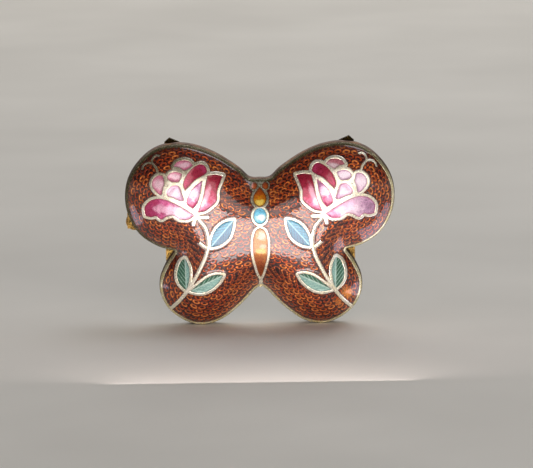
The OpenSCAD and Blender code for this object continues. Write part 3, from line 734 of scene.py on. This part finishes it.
leaves = {
    "blue_leaf": {
        "loop": [
            (4.9, 20.5), (6.3, 20.2), (7.6, 19.4), (8.5, 18.2), (9, 16.9), (9.2, 15.5), (8, 15.7), (6.8, 16.3),
            (5.8, 17.3), (5.2, 18.8),
        ],
        "corners": (0, 5), "axis": ((4.9, 20.5), (9.2, 15.5)), "slot": "blue_enamel",
        "look": {
            "stops": [(0.0, "#2c819c"), (0.4, "#166484"), (0.7, "#105777"), (1.0, "#23728e")],
            "otherSide": [(0.0, "#4593aa"), (0.5, "#277a98"), (1.0, "#3787a0")],
            "edge": "#184f6b", "edgeAmount": 0.6, "edgeWidth": 0.22, "metal": 0.2, "shift": 41.0, "cloud": 0.9,
            "grainColour": "#f2fbff",
            "veins": {"count": 8.0, "slant": 16.0, "side": "#0e3a58", "middle": "#86bdd2"},
        },
    },
    "low_leaf": {
        "loop": [
            (7, 10.1), (8.4, 10.2), (9.8, 9.7), (11.2, 8.7), (13.1, 7.1), (11.6, 6.8), (10.2, 7), (8.8, 7.8),
            (7.7, 8.9),
        ],
        "corners": (0, 4), "axis": ((13.1, 7.1), (7, 10.1)), "slot": "green_enamel",
        "look": dict(greenLook, shift=45.0),
    },
    "tall_leaf": {
        "loop": [
            (14, 13.1), (14.9, 12.3), (15.4, 11), (15.5, 9.6), (15, 8.3), (13.8, 7.2), (13.4, 8.7), (13.2, 10.4),
            (13.4, 11.9),
        ],
        "corners": (0, 5), "axis": ((13.8, 7.2), (14, 13.1)), "slot": "green_enamel",
        "look": dict(greenLook, shift=49.0),
    },
}
bodyCells = {
    "head": {
        "loop": [
            (0, 26.1), (0.5, 25.6), (1.05, 24.9), (1.2, 24.1), (0.85, 23.3), (0, 22.85),
            (-0.85, 23.3), (-1.2, 24.1), (-1.05, 24.9), (-0.5, 25.6),
        ],
        "corners": (), "axis": ((0, 26.1), (0, 22.85)), "slot": "honey_enamel",
        "look": {
            "stops": [(0.0, "#7c3306"), (0.4, "#b3540d"), (0.75, "#dd981c"), (1.0, "#c9801a")],
            "edge": "#6b2c08", "grainColour": "#fff2b0", "metal": 0.35, "shift": 53.0, "cloud": 0.7, "grain": 0.7,
            "wobble": 0.8, "sparkle": 0.8,
            "patchesAndHighlights": [(0.78, 0.0, 0.22, 0.12, "#ffe070", 0.85)],
        },
    },
    "thorax_bead": {
        "loop": [(1.2 * math.sin(k * math.pi / 12), 21.2 + 1.45 * math.cos(k * math.pi / 12)) for k in range(24)],
        "corners": (), "axis": ((0, 22.65), (0, 19.75)), "slot": "turquoise_enamel",
        "look": {
            "stops": [(0.0, "#2f86ac"), (0.35, "#47a9cd"), (0.7, "#7cc9df"), (1.0, "#55b0cd")],
            "edge": "#2f7f98", "grainColour": "#f2fdff", "metal": 0.15, "shift": 57.0, "cloud": 0.6, "grain": 0.6,
            "wobble": 0.9, "sparkle": 0.9,
            "patchesAndHighlights": [(0.6, 0.03, 0.25, 0.14, "#e8fafd", 0.7)],
        },
    },
    "abdomen": {
        "loop": [
            (0, 18.9), (0.85, 18.4), (1.3, 16.8), (1.35, 15), (1.15, 13.2), (0.75, 11.6), (0.35, 10.2), (0, 9.4),
            (-0.35, 10.2), (-0.75, 11.6), (-1.15, 13.2), (-1.35, 15), (-1.3, 16.8), (-0.85, 18.4),
        ],
        "corners": (7,), "axis": ((0, 18.9), (0, 9.4)), "slot": "honey_enamel",
        "look": {
            "stops": [(0.0, "#8c774c"), (0.2, "#9a661a"), (0.5, "#94560f"), (0.66, "#8a3f0f"), (1.0, "#6b2208")],
            "edge": "#8a4a10", "grainColour": "#fff7cf", "metal": 0.35, "shift": 61.0, "grain": 0.7, "cloud": 0.8,
            "wobble": 0.7, "sparkle": 0.9,
            "patchesAndHighlights": [(0.15, 0.03, 0.12, 0.12, "#b3a39b", 0.8), (0.36, 0.05, 0.07, 0.08, "#b8a794", 0.6),
                       (0.45, 0.02, 0.08, 0.16, "#cfa94c", 0.6)],
        },
    },
}
eyes = {
    "places": ((1.05, 26.35), (-1.05, 26.35)), "radius": 0.58, "axis": ((0, 26.95), (0, 25.75)),
    "slot": "honey_enamel",
    "look": {
        "stops": [(0.0, "#7a3208"), (0.5, "#a8480f"), (1.0, "#c4641c")], "edge": "#5c2a0c", "cloud": 0.6,
        "grain": 0.7, "grainColour": "#ffe9a8", "metal": 0.3, "shift": 65.0,
    },
}
stems = {
    "width": 0.74, "footWidth": 0.5,
    "main": [
        (12, 21.4), (11.2, 20.5), (10.2, 19.2), (9.7, 17.6), (9.6, 16.1), (9.8, 14.9), (10.2, 13.5),
        (10.9, 12), (11.7, 10.4), (12.5, 9), (13.4, 7.6), (14.1, 6.5),
    ],
    "foot": [(14.1, 6.5), (15.1, 5.2), (16.2, 4), (17.05, 3.1)],
    "thorn": [(9.8, 15.2), (10.6, 15.7), (11.3, 16.3)],
    "spurs": [[(11.9, 21.3), (10.8, 21.1), (9.7, 21.1)], [(11.9, 21), (12.2, 20.3), (12.3, 19.8)]],
    "tendrils": [
        [(18.8, 29.3), (19.1, 30.2), (19.9, 31)],
        [(19.9, 31), (19.7, 31.8), (19.1, 32.3), (18.4, 32.2)],
        [(19.9, 31), (20.8, 30.9), (21.5, 30.4), (21.7, 29.7)],
    ],
    "tail": [(0, 9.6), (0, 8.4), (0, 7.35)], "nape": [(0, 25.9), (0, 26.25), (0, 26.6)], "napeWidth": 1,
}

for group in (petals, leaves, bodyCells):
    for cell in group.values():
        cell["edge"] = smoothLoop(cell["loop"], cell["corners"], 0.12)
eyeLoops = [
    np.array([(x + eyes["radius"] * math.cos(k * math.pi / 14), z + eyes["radius"] * math.sin(k * math.pi / 14))
              for k in range(28)]) for x, z in eyes["places"]
]
print("outlines drawn")

# Gilding; the last three numbers place its painted shade, darker towards the top and on the left
rimGilding = gildingMaterial("rimGilding", "#f7eeca", "#dccb8c", "#4a4126", 0.7, 1.0, 0.65, 0.4, 15, 27)
wireGilding = gildingMaterial("wireGilding", "#fffaea", "#f4ebcb", "#6a6040", 0.4, 1.3, 0.6, 0.35, 29, 38)
bodyGilding = gildingMaterial("bodyGilding", "#fffaea", "#f4ebcb", "#5c5334", 0.5, 1.3, 0.6, 0.0, 20, 26)

rimLoop = offsetLoop(outlineLoop, -0.32)
rimSizes = {"width": 1.08, "depth": 0.6, "shoulder": 0.16, "proud": 0.03}
behindEyes = np.clip((2.9 - abs(rimLoop[:, 0])) / 1.2, 0, 1) * (rimLoop[:, 1] > 20)
thinTop = np.clip((rimLoop[:, 1] - 24) / 4, 0, 1) * np.clip((24 - abs(rimLoop[:, 0])) / 4, 0, 1)
thinned = np.maximum(0.4 * behindEyes, 0.25 * thinTop)
rimRun = np.roll(rimLoop, -1, axis=0) - np.roll(rimLoop, 1, axis=0)
rimOut = np.stack([rimRun[:, 1], -rimRun[:, 0]], 1) / np.linalg.norm(rimRun, axis=1)[:, None]
rimLoop += rimOut * 0.3 * thinned[:, None]
sweepWires("gildedRim", [(rimLoop, True, 1 - thinned)], rimSizes, rimGilding, ["rim_wire"])
print("rim made")

enamel = {"brim": 0.01, "dip": 0.055, "dipWidth": 0.25, "back": wing["enamel"] - 0.02, "proud": 0.03}


def dippedDepth(gap):
    return enamel["brim"] + enamel["dip"] * (1 - np.exp(-(np.maximum(gap, 0) / enamel["dipWidth"]) ** 2))


# Wires around cells: everything within one wire's width of a cell, and the pockets where three cells meet
def cellWireRegion(cells, extra=(), spacing=0.09):
    inner = [loop for loop, width in cells]
    outer = [offsetLoop(loop, width) for loop, width in cells] + list(extra)
    wide = [offsetLoop(loop, width + 0.45) for loop, width in cells]

    def isInside(points):
        near = np.any([insideLoop(points, loop) for loop in outer], axis=0)
        near |= np.sum([insideLoop(points, loop) for loop in wide], axis=0) >= 3
        return near & ~np.any([insideLoop(points, loop) for loop in inner], axis=0)

    return fillPlane(outer + inner + wide, spacing, isInside)


def makeWirePlate(name, region, material, nodes, flip=False):
    flat, tris = region
    border = np.array([flat[a] * (1 - t) + flat[b] * t for a, b in borderEdges(tris) for t in (0.0, 0.5)])
    gap = nearest(flat, border)
    shoulder = 0.1
    front = -enamel["proud"] + shoulder * 0.8 * (1 - np.clip(gap / shoulder, 0, 1)) ** 2
    makeLayer(name, flat, tris, front, np.full(len(flat), enamel["back"]), material, nodes, flip, sharp=60)


def lineLoop(route, width):
    points = smoothRoute(route, 0.15)
    run = np.gradient(points, axis=0)
    side = np.stack([-run[:, 1], run[:, 0]], 1) / np.linalg.norm(run, axis=1)[:, None] * width / 2
    left, right = points + side, (points - side)[::-1]
    ends = []
    for centre, start in ((points[-1], side[-1]), (points[0], -side[0])):
        a = math.atan2(start[1], start[0])
        ends.append([centre + width / 2 * np.array([math.cos(a - k * math.pi / 8), math.sin(a - k * math.pi / 8)])
                     for k in range(1, 8)])
    return np.concatenate([left, ends[0], right, ends[1]])


petalCells = [(p["edge"], wing["cellWire"]) for p in petals.values()]
leafCells = [(p["edge"], wing["cellWire"]) for p in leaves.values()]
middleCells = [(p["edge"], wing["bodyWire"]) for p in bodyCells.values()]
middleCells += [(p, wing["bodyWire"] / 2) for p in eyeLoops]
flowerRegion = cellWireRegion(petalCells, [lineLoop(s, stems["width"]) for s in stems["spurs"]])
leafRegion = cellWireRegion(leafCells)
tailWidth = wing["bodyWire"] * 1.4
bodyLines = [lineLoop(stems["tail"], tailWidth), lineLoop(stems["nape"], stems["napeWidth"])]
bodyRegion = cellWireRegion(middleCells, bodyLines)
makeWirePlate("bodyGilding", bodyRegion, bodyGilding, ["body_wires"])
stemSizes = {"width": stems["width"], "depth": 0.45, "shoulder": 0.1, "proud": 0.035}
thinSizes = dict(stemSizes, width=stems["footWidth"])
for side, flip in (("right", False), ("left", True)):
    makeWirePlate("flowerGilding_" + side, flowerRegion, wireGilding,
                  ["flower_wires_" + side], flip)
    makeWirePlate("leafGilding_" + side, leafRegion, wireGilding, ["leaf_wires_" + side], flip)
    routes = []
    for key in ("main", "thorn", "foot"):
        route = smoothRoute(stems[key], 0.15)
        scale = stems["footWidth"] / stems["width"] if key == "foot" else 1
        routes.append((route, False, steadyGirth(route, stems["width"]) * scale))
    sweepWires("stemGilding_" + side, routes, stemSizes, wireGilding, ["stem_wire_" + side], flip)
    routes = []
    for part in stems["tendrils"]:
        route = smoothRoute(part, 0.15)
        routes.append((route, False, steadyGirth(route, stems["footWidth"])))
    sweepWires("tendrilGilding_" + side, routes, thinSizes, wireGilding,
               ["tendril_wire_" + side], flip)
print("wires made")


# Enamel cells
def makeCell(name, loops, look, axis, nodes, flip=False, spacing=0.14):
    def isInside(points):
        return np.any([insideLoop(points, loop) for loop in loops], axis=0)

    flat, tris = fillPlane(loops, spacing, isInside)
    gap = nearest(flat, np.concatenate(loops))
    start, end = np.array(axis[0], float), np.array(axis[1], float)
    run = (end - start) / np.linalg.norm(end - start)
    along = (flat - start) @ run / np.linalg.norm(end - start)
    across = ((flat - start) @ np.array([-run[1], run[0]])) / 10 + 0.5
    front = dippedDepth(gap) + 0.012 * np.sin(flat[:, 0] * 2.1 + flat[:, 1] * 1.3) * np.clip(gap / 0.3, 0, 1)
    maps = {"cellMap": np.stack([along, across], 1), "wireGap": gap}
    makeLayer(name, flat, tris, front, np.full(len(flat), enamel["back"]), cellMaterial(name + "Finish", look),
              nodes, flip, maps)


for key, cell in petals.items():
    for side, flip in (("right", False), ("left", True)):
        look = cell.get("leftLook", cell["look"]) if flip else cell["look"]
        makeCell(f"{key}Petal_{side}", [cell["edge"]], look, cell["axis"], [f"petal_{key}_{side}"], flip)
for key, cell in leaves.items():
    for side, flip in (("right", False), ("left", True)):
        makeCell(f"{key}Enamel_{side}", [cell["edge"]], cell["look"], cell["axis"],
                 [f"{key}_{side}"], flip, 0.11)
for key, cell in bodyCells.items():
    makeCell(key + "Enamel", [cell["edge"]], cell["look"], cell["axis"], [key], False, 0.11)
makeCell("eyesEnamel", eyeLoops, eyes["look"], eyes["axis"], ["eyes"], False, 0.11)
print("cells made")


# Stamped scales of the ground: rows of ovals that follow the rim, then ovals to fill what is left
scales = {"length": 1.55, "width": 0.8, "jitter": 0.07, "relief": 0.008}


def scaleCentres(seed):
    chance = np.random.default_rng(seed)
    ladder = np.stack([25 - np.arange(0, 21, 0.05), 23.2 - np.arange(0, 21, 0.05) * 0.27], 1)
    ladderReach = rimReach(ladder)
    centres = []
    level = 0
    for k in range(11):
        place = (k + 0.9) * scales["width"] / 0.05
        if place >= len(ladder) or ladderReach[int(place)] <= level:
            break
        level = ladderReach[int(place)]
        column = np.stack([np.full(400, 0.02), np.linspace(27, 17, 400)], 1)
        reached = rimReach(column)
        start = column[np.argmax(reached >= level)] if reached.max() > level else np.array([4.0, 24.0])
        point, walked = start, (k % 2) * scales["length"] / 2
        for step in range(900):
            probe = rimReach(np.array([point, point + (0.02, 0), point + (0, 0.02)]))
            slope = (probe[1:] - probe[0]) / 0.02
            size = np.linalg.norm(slope)
            inward = slope / size
            ahead = np.array([-inward[1], inward[0]])
            point = point + ahead * 0.12 - inward * np.clip((probe[0] - level) / size, -0.1, 0.1)
            walked += 0.12
            if walked >= scales["length"]:
                walked -= scales["length"]
                shake = chance.normal(0, scales["jitter"] / 2, 2)
                centres.append((*(point + shake), math.atan2(ahead[1], ahead[0]) + chance.normal(0, 0.08)))
            if point[0] < 0 or (step > 60 and np.linalg.norm(point - start) < 0.15):
                break
    centres = np.array(centres)
    spots = np.array([(x, z) for z in np.arange(1, 33, 0.3) for x in np.arange(0.3, 24.5, 0.42)])
    spots = spots + chance.normal(0, 0.1, spots.shape)
    spots = spots[insideLoop(spots, outlineLoop)]
    spots = spots[rimReach(spots) > 0.6]
    spots = spots[scaleDistance(spots, centres)[0] > 0.9]
    for spot in spots:
        if scaleDistance(spot[None], centres)[0][0] > 0.9:
            near = centres[np.argmin(np.linalg.norm(centres[:, :2] - spot, axis=1))]
            centres = np.concatenate([centres, [(*spot, near[2] + chance.normal(0, 0.15))]])
    return centres


def scaleDistance(points, centres):
    first, second, which = [], [], []
    cos, sin = np.cos(centres[:, 2]), np.sin(centres[:, 2])
    for part in np.array_split(points, max(1, len(points) // 4000)):
        rel = part[:, None] - centres[None, :, :2]
        lengthwise = (rel[..., 0] * cos + rel[..., 1] * sin) / scales["length"]
        crosswise = (rel[..., 1] * cos - rel[..., 0] * sin) / scales["width"]
        apart = np.hypot(lengthwise, crosswise)
        order = np.argpartition(apart, 1, axis=1)[:, :2] if len(centres) > 1 else np.zeros((len(part), 2), int)
        two = np.sort(np.take_along_axis(apart, order, 1), axis=1)
        first.append(two[:, 0])
        second.append(two[:, 1])
        which.append(np.argmin(apart, axis=1))
    return np.concatenate(first), np.concatenate(second), np.concatenate(which)


groundEdge = offsetLoop(outlineLoop, -0.35)
holeLoops = [offsetLoop(loop, width / 2) for loop, width in petalCells + leafCells + middleCells]
midLine = np.stack([np.zeros(160), np.linspace(7.4, 27.05, 160)], 1)


def insideGround(points):
    keep = insideLoop(points, groundEdge) & (points[:, 0] > 0)
    for loop in holeLoops:
        keep &= ~insideLoop(points, loop)
    return keep


groundFlat, groundTris = fillPlane([groundEdge] + holeLoops + [midLine], 0.115, insideGround)
lineRoutes = [
    (stems["main"], stems["width"]), (stems["foot"], stems["footWidth"]), (stems["thorn"], stems["width"])]
lineRoutes += [(s, stems["width"]) for s in stems["spurs"]] + [(s, stems["footWidth"]) for s in stems["tendrils"]]
lineRoutes += [(stems["tail"], tailWidth)]
wireGap = nearest(groundFlat, groundEdge) - (wing["rim"] - 0.35)
for cells in (petalCells + leafCells, middleCells[:3], middleCells[3:]):
    wireGap = np.minimum(wireGap, nearest(groundFlat, np.concatenate([p for p, width in cells])) - cells[0][1])
for route, width in lineRoutes:
    wireGap = np.minimum(wireGap, nearest(groundFlat, smoothRoute(route, 0.08)) - width / 2)
amberEnamel = groundMaterial()
for side, flip, seed in (("right", False, 4), ("left", True, 11)):
    centres = scaleCentres(seed)
    first, second, which = scaleDistance(groundFlat, centres)
    ring = np.exp(-((first - 0.36) / 0.12) ** 2) * np.clip(wireGap / 0.3, 0, 1)
    toCentre = groundFlat - centres[which, :2]
    turn = centres[which, 2]
    outer = (toCentre[:, 1] * np.cos(turn) - toCentre[:, 0] * np.sin(turn)) / scales["width"]
    pick = np.random.default_rng(seed).random(len(centres))[which]
    front = np.maximum(dippedDepth(wireGap) - scales["relief"] * ring, 0.005)
    front = np.where(wireGap < 0, 0.05, front)
    maps = {
        "scale": first, "outer": outer, "border": second - first, "pick": pick, "wireGap": np.maximum(wireGap, 0)}
    makeLayer("groundEnamel_" + side, groundFlat, groundTris, front, np.full(len(groundFlat), enamel["back"]),
              amberEnamel, ["ground_enamel_" + side], flip, maps)
    print("ground", side, "made with", len(centres), "scales")


# Copper shell and the enamel inside it
def copperMaterial():
    material, tree, shader = newMaterial("copperSheet")
    coords = inMillimetres(tree)
    cloud = noise(tree, coords, 0.5, 4.0, 0.6)
    streak = noise(tree, stretched(tree, coords, (1.0, 6.0, 1.0)), 1.8, 4.0, 0.6)
    base = colourRamp(tree, cloud, [(0.3, "#2c1a10"), (0.5, "#4f301b"), (0.7, "#7f5730")])
    base = blendColours(tree, fade(tree, streak, 0.52, 0.72, 0.0, 0.7), base, "#4a2412")
    plug(tree, shader.inputs["Base Color"], base)
    plug(tree, shader.inputs["Roughness"], fade(tree, streak, 0.3, 0.7, 0.3, 0.5))
    plug(tree, shader.inputs["Normal"], bump(tree, streak, 0.00004, 0.5))
    shader.inputs["Metallic"].default_value = 1
    return material


def liningMaterial():
    material, tree, shader = newMaterial("backEnamel")
    fired = useGroup(tree, enamelGroup, {"Cloud size": 3.0, "Grain size": 1.6})
    coords = inMillimetres(tree)
    spatter = noise(tree, coords, 2.2, 4.0, 0.65, 0.3)
    base = colourRamp(tree, fired["Cloud"], [(0.3, "#1f6f80"), (0.5, "#2f8f9c"), (0.7, "#58aeb4")])
    base = blendColours(tree, fade(tree, spatter, 0.58, 0.66, 0.0, 0.7), base, "#bfe0da")
    base = blendColours(tree, fade(tree, spatter, 0.34, 0.28, 0.0, 0.6), base, "#123f4d")
    base = blendColours(tree, fired["Pits"], base, "#0d2f38")
    plug(tree, shader.inputs["Base Color"], base)
    plug(tree, shader.inputs["Roughness"], fade(tree, fired["Grain"], 0.3, 0.7, 0.2, 0.4))
    plug(tree, shader.inputs["Normal"], bump(tree, fired["Height"], 0.00008, 0.6))
    shader.inputs["Coat Weight"].default_value = 0.8
    shader.inputs["Coat Roughness"].default_value = 0.12
    return material


copperSheet = copperMaterial()
backEnamel = liningMaterial()
under = wing["enamel"] + wing["gap"]
innerLoop = offsetLoop(outlineLoop, -wing["sheet"])


def buildShell():
    frontFlat, frontTris = fillPlane([outlineLoop], 0.5, lambda p: insideLoop(p, outlineLoop))
    backFlat, backTris = fillPlane([innerLoop], 0.45, lambda p: insideLoop(p, innerLoop))
    ringFlat, ringTris = fillPlane([outlineLoop, innerLoop], 0.5,
                                   lambda p: insideLoop(p, outlineLoop) & ~insideLoop(p, innerLoop))
    points, faces = [], []

    def addSheet(flat, tris, y, turned):
        first = len(points)
        points.extend(np.stack([flat[:, 0], y, flat[:, 1]], 1).tolist())
        faces.extend([tuple((t[::-1] if turned else t) + first) for t in tris])
        return first

    frontY = under - domeHeight(frontFlat)
    backY = np.minimum(under + wing["sheet"] - domeHeight(backFlat), -0.3)
    a = addSheet(frontFlat, frontTris, frontY, False)
    b = addSheet(backFlat, backTris, backY, True)
    c = addSheet(ringFlat, ringTris, np.zeros(len(ringFlat)), True)
    lookup = {tuple(np.round(p, 4)): c + i for i, p in enumerate(ringFlat)}
    for first, flat, tris in ((a, frontFlat, frontTris), (b, backFlat, backTris)):
        for i, j in borderEdges(tris):
            near, far = (lookup[tuple(np.round(flat[k], 4))] for k in (i, j))
            faces.append((first + i, first + j, far, near))
    return points, faces


shellPoints, shellFaces = buildShell()
makePiece("copperShell", shellPoints, shellFaces, copperSheet, ["base_shell"], weld=True)
liningLoop = offsetLoop(outlineLoop, -wing["sheet"] - wing["gap"])
liningFlat, liningTris = fillPlane([liningLoop], 0.45, lambda p: insideLoop(p, liningLoop))
liningFront = np.full(len(liningFlat), under + wing["sheet"] + wing["gap"])
ripple = 0.03 * np.sin(liningFlat[:, 0] * 0.9) * np.sin(liningFlat[:, 1] * 0.8 + 1)
makeLayer("backEnamelLining", liningFlat, liningTris, liningFront, liningFront + wing["lining"] + ripple,
          backEnamel, ["counter_enamel"])
print("shell made")


# Brass and steel of the back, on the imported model's own nodes
def brassMaterial():
    material, tree, shader = newMaterial("darkBrass")
    coords = inMillimetres(tree)
    level = addNode(tree, "ShaderNodeSeparateXYZ", inputs={0: coords}).outputs[2]
    # Painted shade: the brass darkens above 30 mm, towards the tips
    paintedTopShade = fade(tree, level, 30, 33.5, 0.0, 0.65)
    out = useGroup(tree, gildingGroup, {
        "Pale": "#94793f", "Deep": "#5f4a26", "Tarnish and shade": "#2a2012", "Wear": 0.95, "Grain": 0.8, "Painted shade": paintedTopShade})
    brushed = noise(tree, stretched(tree, coords, (0.6, 5.0, 5.0)), 2.0, 4.0, 0.6)
    base = blendColours(tree, fade(tree, brushed, 0.5, 0.75, 0.0, 0.45), out["Color"], "#5b431c")
    plug(tree, shader.inputs["Base Color"], base)
    plug(tree, shader.inputs["Roughness"], calc(tree, "ADD", out["Roughness"], 0.06))
    height = calc(tree, "ADD", calc(tree, "MULTIPLY", brushed, 0.6), out["Height"])
    plug(tree, shader.inputs["Normal"], bump(tree, height, 0.00005, 0.5))
    shader.inputs["Metallic"].default_value = 1
    return material


def steelMaterial():
    material, tree, shader = newMaterial("pinSteel")
    coords = inMillimetres(tree)
    drawn = noise(tree, stretched(tree, coords, (0.3, 7.0, 7.0)), 2.0, 4.0, 0.6)
    spots = fade(tree, noise(tree, coords, 2.5, 5.0, 0.7), 0.62, 0.7)
    base = colourRamp(tree, drawn, [(0.3, "#8e8d88"), (0.55, "#b9b8b2"), (0.75, "#d3d2cd")])
    base = blendColours(tree, calc(tree, "MULTIPLY", spots, 0.7), base, "#5c5348")
    plug(tree, shader.inputs["Base Color"], base)
    rough = calc(tree, "ADD", fade(tree, drawn, 0.3, 0.7, 0.2, 0.34), calc(tree, "MULTIPLY", spots, 0.2))
    plug(tree, shader.inputs["Roughness"], rough)
    plug(tree, shader.inputs["Normal"], bump(tree, drawn, 0.00003, 0.4))
    shader.inputs["Metallic"].default_value = 1
    return material


darkBrass = brassMaterial()
pinSteel = steelMaterial()
backPieces = {
    "strap_left": darkBrass, "strap_right": darkBrass, "pin_bar": darkBrass, "hinge_bracket": darkBrass,
    "catch_housing": darkBrass, "catch_roller": darkBrass, "pin_stem": pinSteel, "hinge_rivet": pinSteel,
}
for label, material in backPieces.items():
    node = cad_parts[label]
    if not node.material_slots:
        node.data.materials.append(material)
    for place in node.material_slots:
        place.material = material
print("back finished")

# Floor, lights and camera
stage = {
    "floorSize": 3.0, "worldStrength": 0.75,
    "view": {"elevation": 10, "distance": 1.0, "across": 0.0993, "aim": (1.16, 0, 16.55), "roll": -0.75},
}


def buildFloor():
    material, tree, shader = newMaterial("paleFloor")
    soft = noise(tree, inMillimetres(tree), 0.02, 2.0, 0.5)
    plug(tree, shader.inputs["Base Color"], colourRamp(tree, soft, [(0.3, "#dedad2"), (0.7, "#e8e4dc")]))
    shader.inputs["Roughness"].default_value = 0.7
    mesh = bpy.data.meshes.new("paleFloor")
    s = stage["floorSize"]
    mesh.from_pydata([(-s, -s, 0), (s, -s, 0), (s, s, 0), (-s, s, 0)], [], [(0, 1, 2, 3)])
    mesh.materials.append(material)
    floor = bpy.data.objects.new("paleFloor", mesh)
    bpy.context.collection.objects.link(floor)


def addLight(name, place, aim, size, watts, tint="#ffffff", seen=True):
    data = bpy.data.lights.new(name, "AREA")
    data.shape = "RECTANGLE"
    data.size, data.size_y = size
    data.energy = watts
    data.color = colour(tint)[:3]
    light = bpy.data.objects.new(name, data)
    light.location = place
    light.rotation_euler = (Vector(aim) - Vector(place)).to_track_quat("-Z", "Y").to_euler()
    light.visible_camera = seen
    bpy.context.collection.objects.link(light)


def addCamera():
    view = stage["view"]
    camera = bpy.data.objects.new("camera", bpy.data.cameras.new("camera"))
    bpy.context.collection.objects.link(camera)
    lift = math.radians(view["elevation"])
    aim = Vector(view["aim"]) * mm
    place = aim + Vector((0, -math.cos(lift), math.sin(lift))) * view["distance"]
    turn = Matrix.Rotation(math.radians(90) - lift, 4, "X") @ Matrix.Rotation(math.radians(view["roll"]), 4, "Z")
    camera.matrix_world = Matrix.Translation(place) @ turn
    camera.data.sensor_width = 36
    camera.data.lens = 36 * view["distance"] / view["across"]
    camera.data.clip_end = 20
    bpy.context.scene.camera = camera


buildFloor()
addLight("broadWindow", (0.3, -0.9, 0.33), (0, 0, 0.015), (1.3, 0.42), 3.1, "#fffaf4")
addLight("tableGlow", (0.0, -0.059, 0.0015), (0, -0.02, 0.06), (0.054, 0.076), 0.094, "#fff0ee", False)
addLight("rightGlow", (0.058, -0.004, 0.001), (0.058, -0.004, 1), (0.066, 0.016), 0.007, "#e8e4ff", False)
addLight("leftGlow", (-0.07, -0.004, 0.001), (-0.07, -0.004, 1), (0.05, 0.016), 0.005, "#e8e4ff", False)
addLight("topFill", (0.3, 0.3, 0.8), (0, 0, 0.015), (0.5, 0.5), 2.2, "#f2f6ff")
addLight("floorWash", (0.0, 1.5, 0.9), (0, 1.3, 0), (2.4, 1.2), 18, "#fffaf2", False)
world = bpy.data.worlds.new("softRoom")
world.use_nodes = True
room = world.node_tree
height = addNode(room, "ShaderNodeSeparateXYZ", inputs={0: addNode(room, "ShaderNodeTexCoord").outputs["Generated"]})
sky = colourRamp(room, height.outputs[2], [(0.0, "#ebe7df"), (0.1, "#d6d3cd"), (0.3, "#3e3f42"), (1.0, "#1a1b1d")])
plug(room, room.nodes["Background"].inputs[0], sky)
room.nodes["Background"].inputs[1].default_value = stage["worldStrength"]
bpy.context.scene.world = world
bpy.context.scene.view_settings.view_transform = "Standard"
addCamera()
print("stage set")
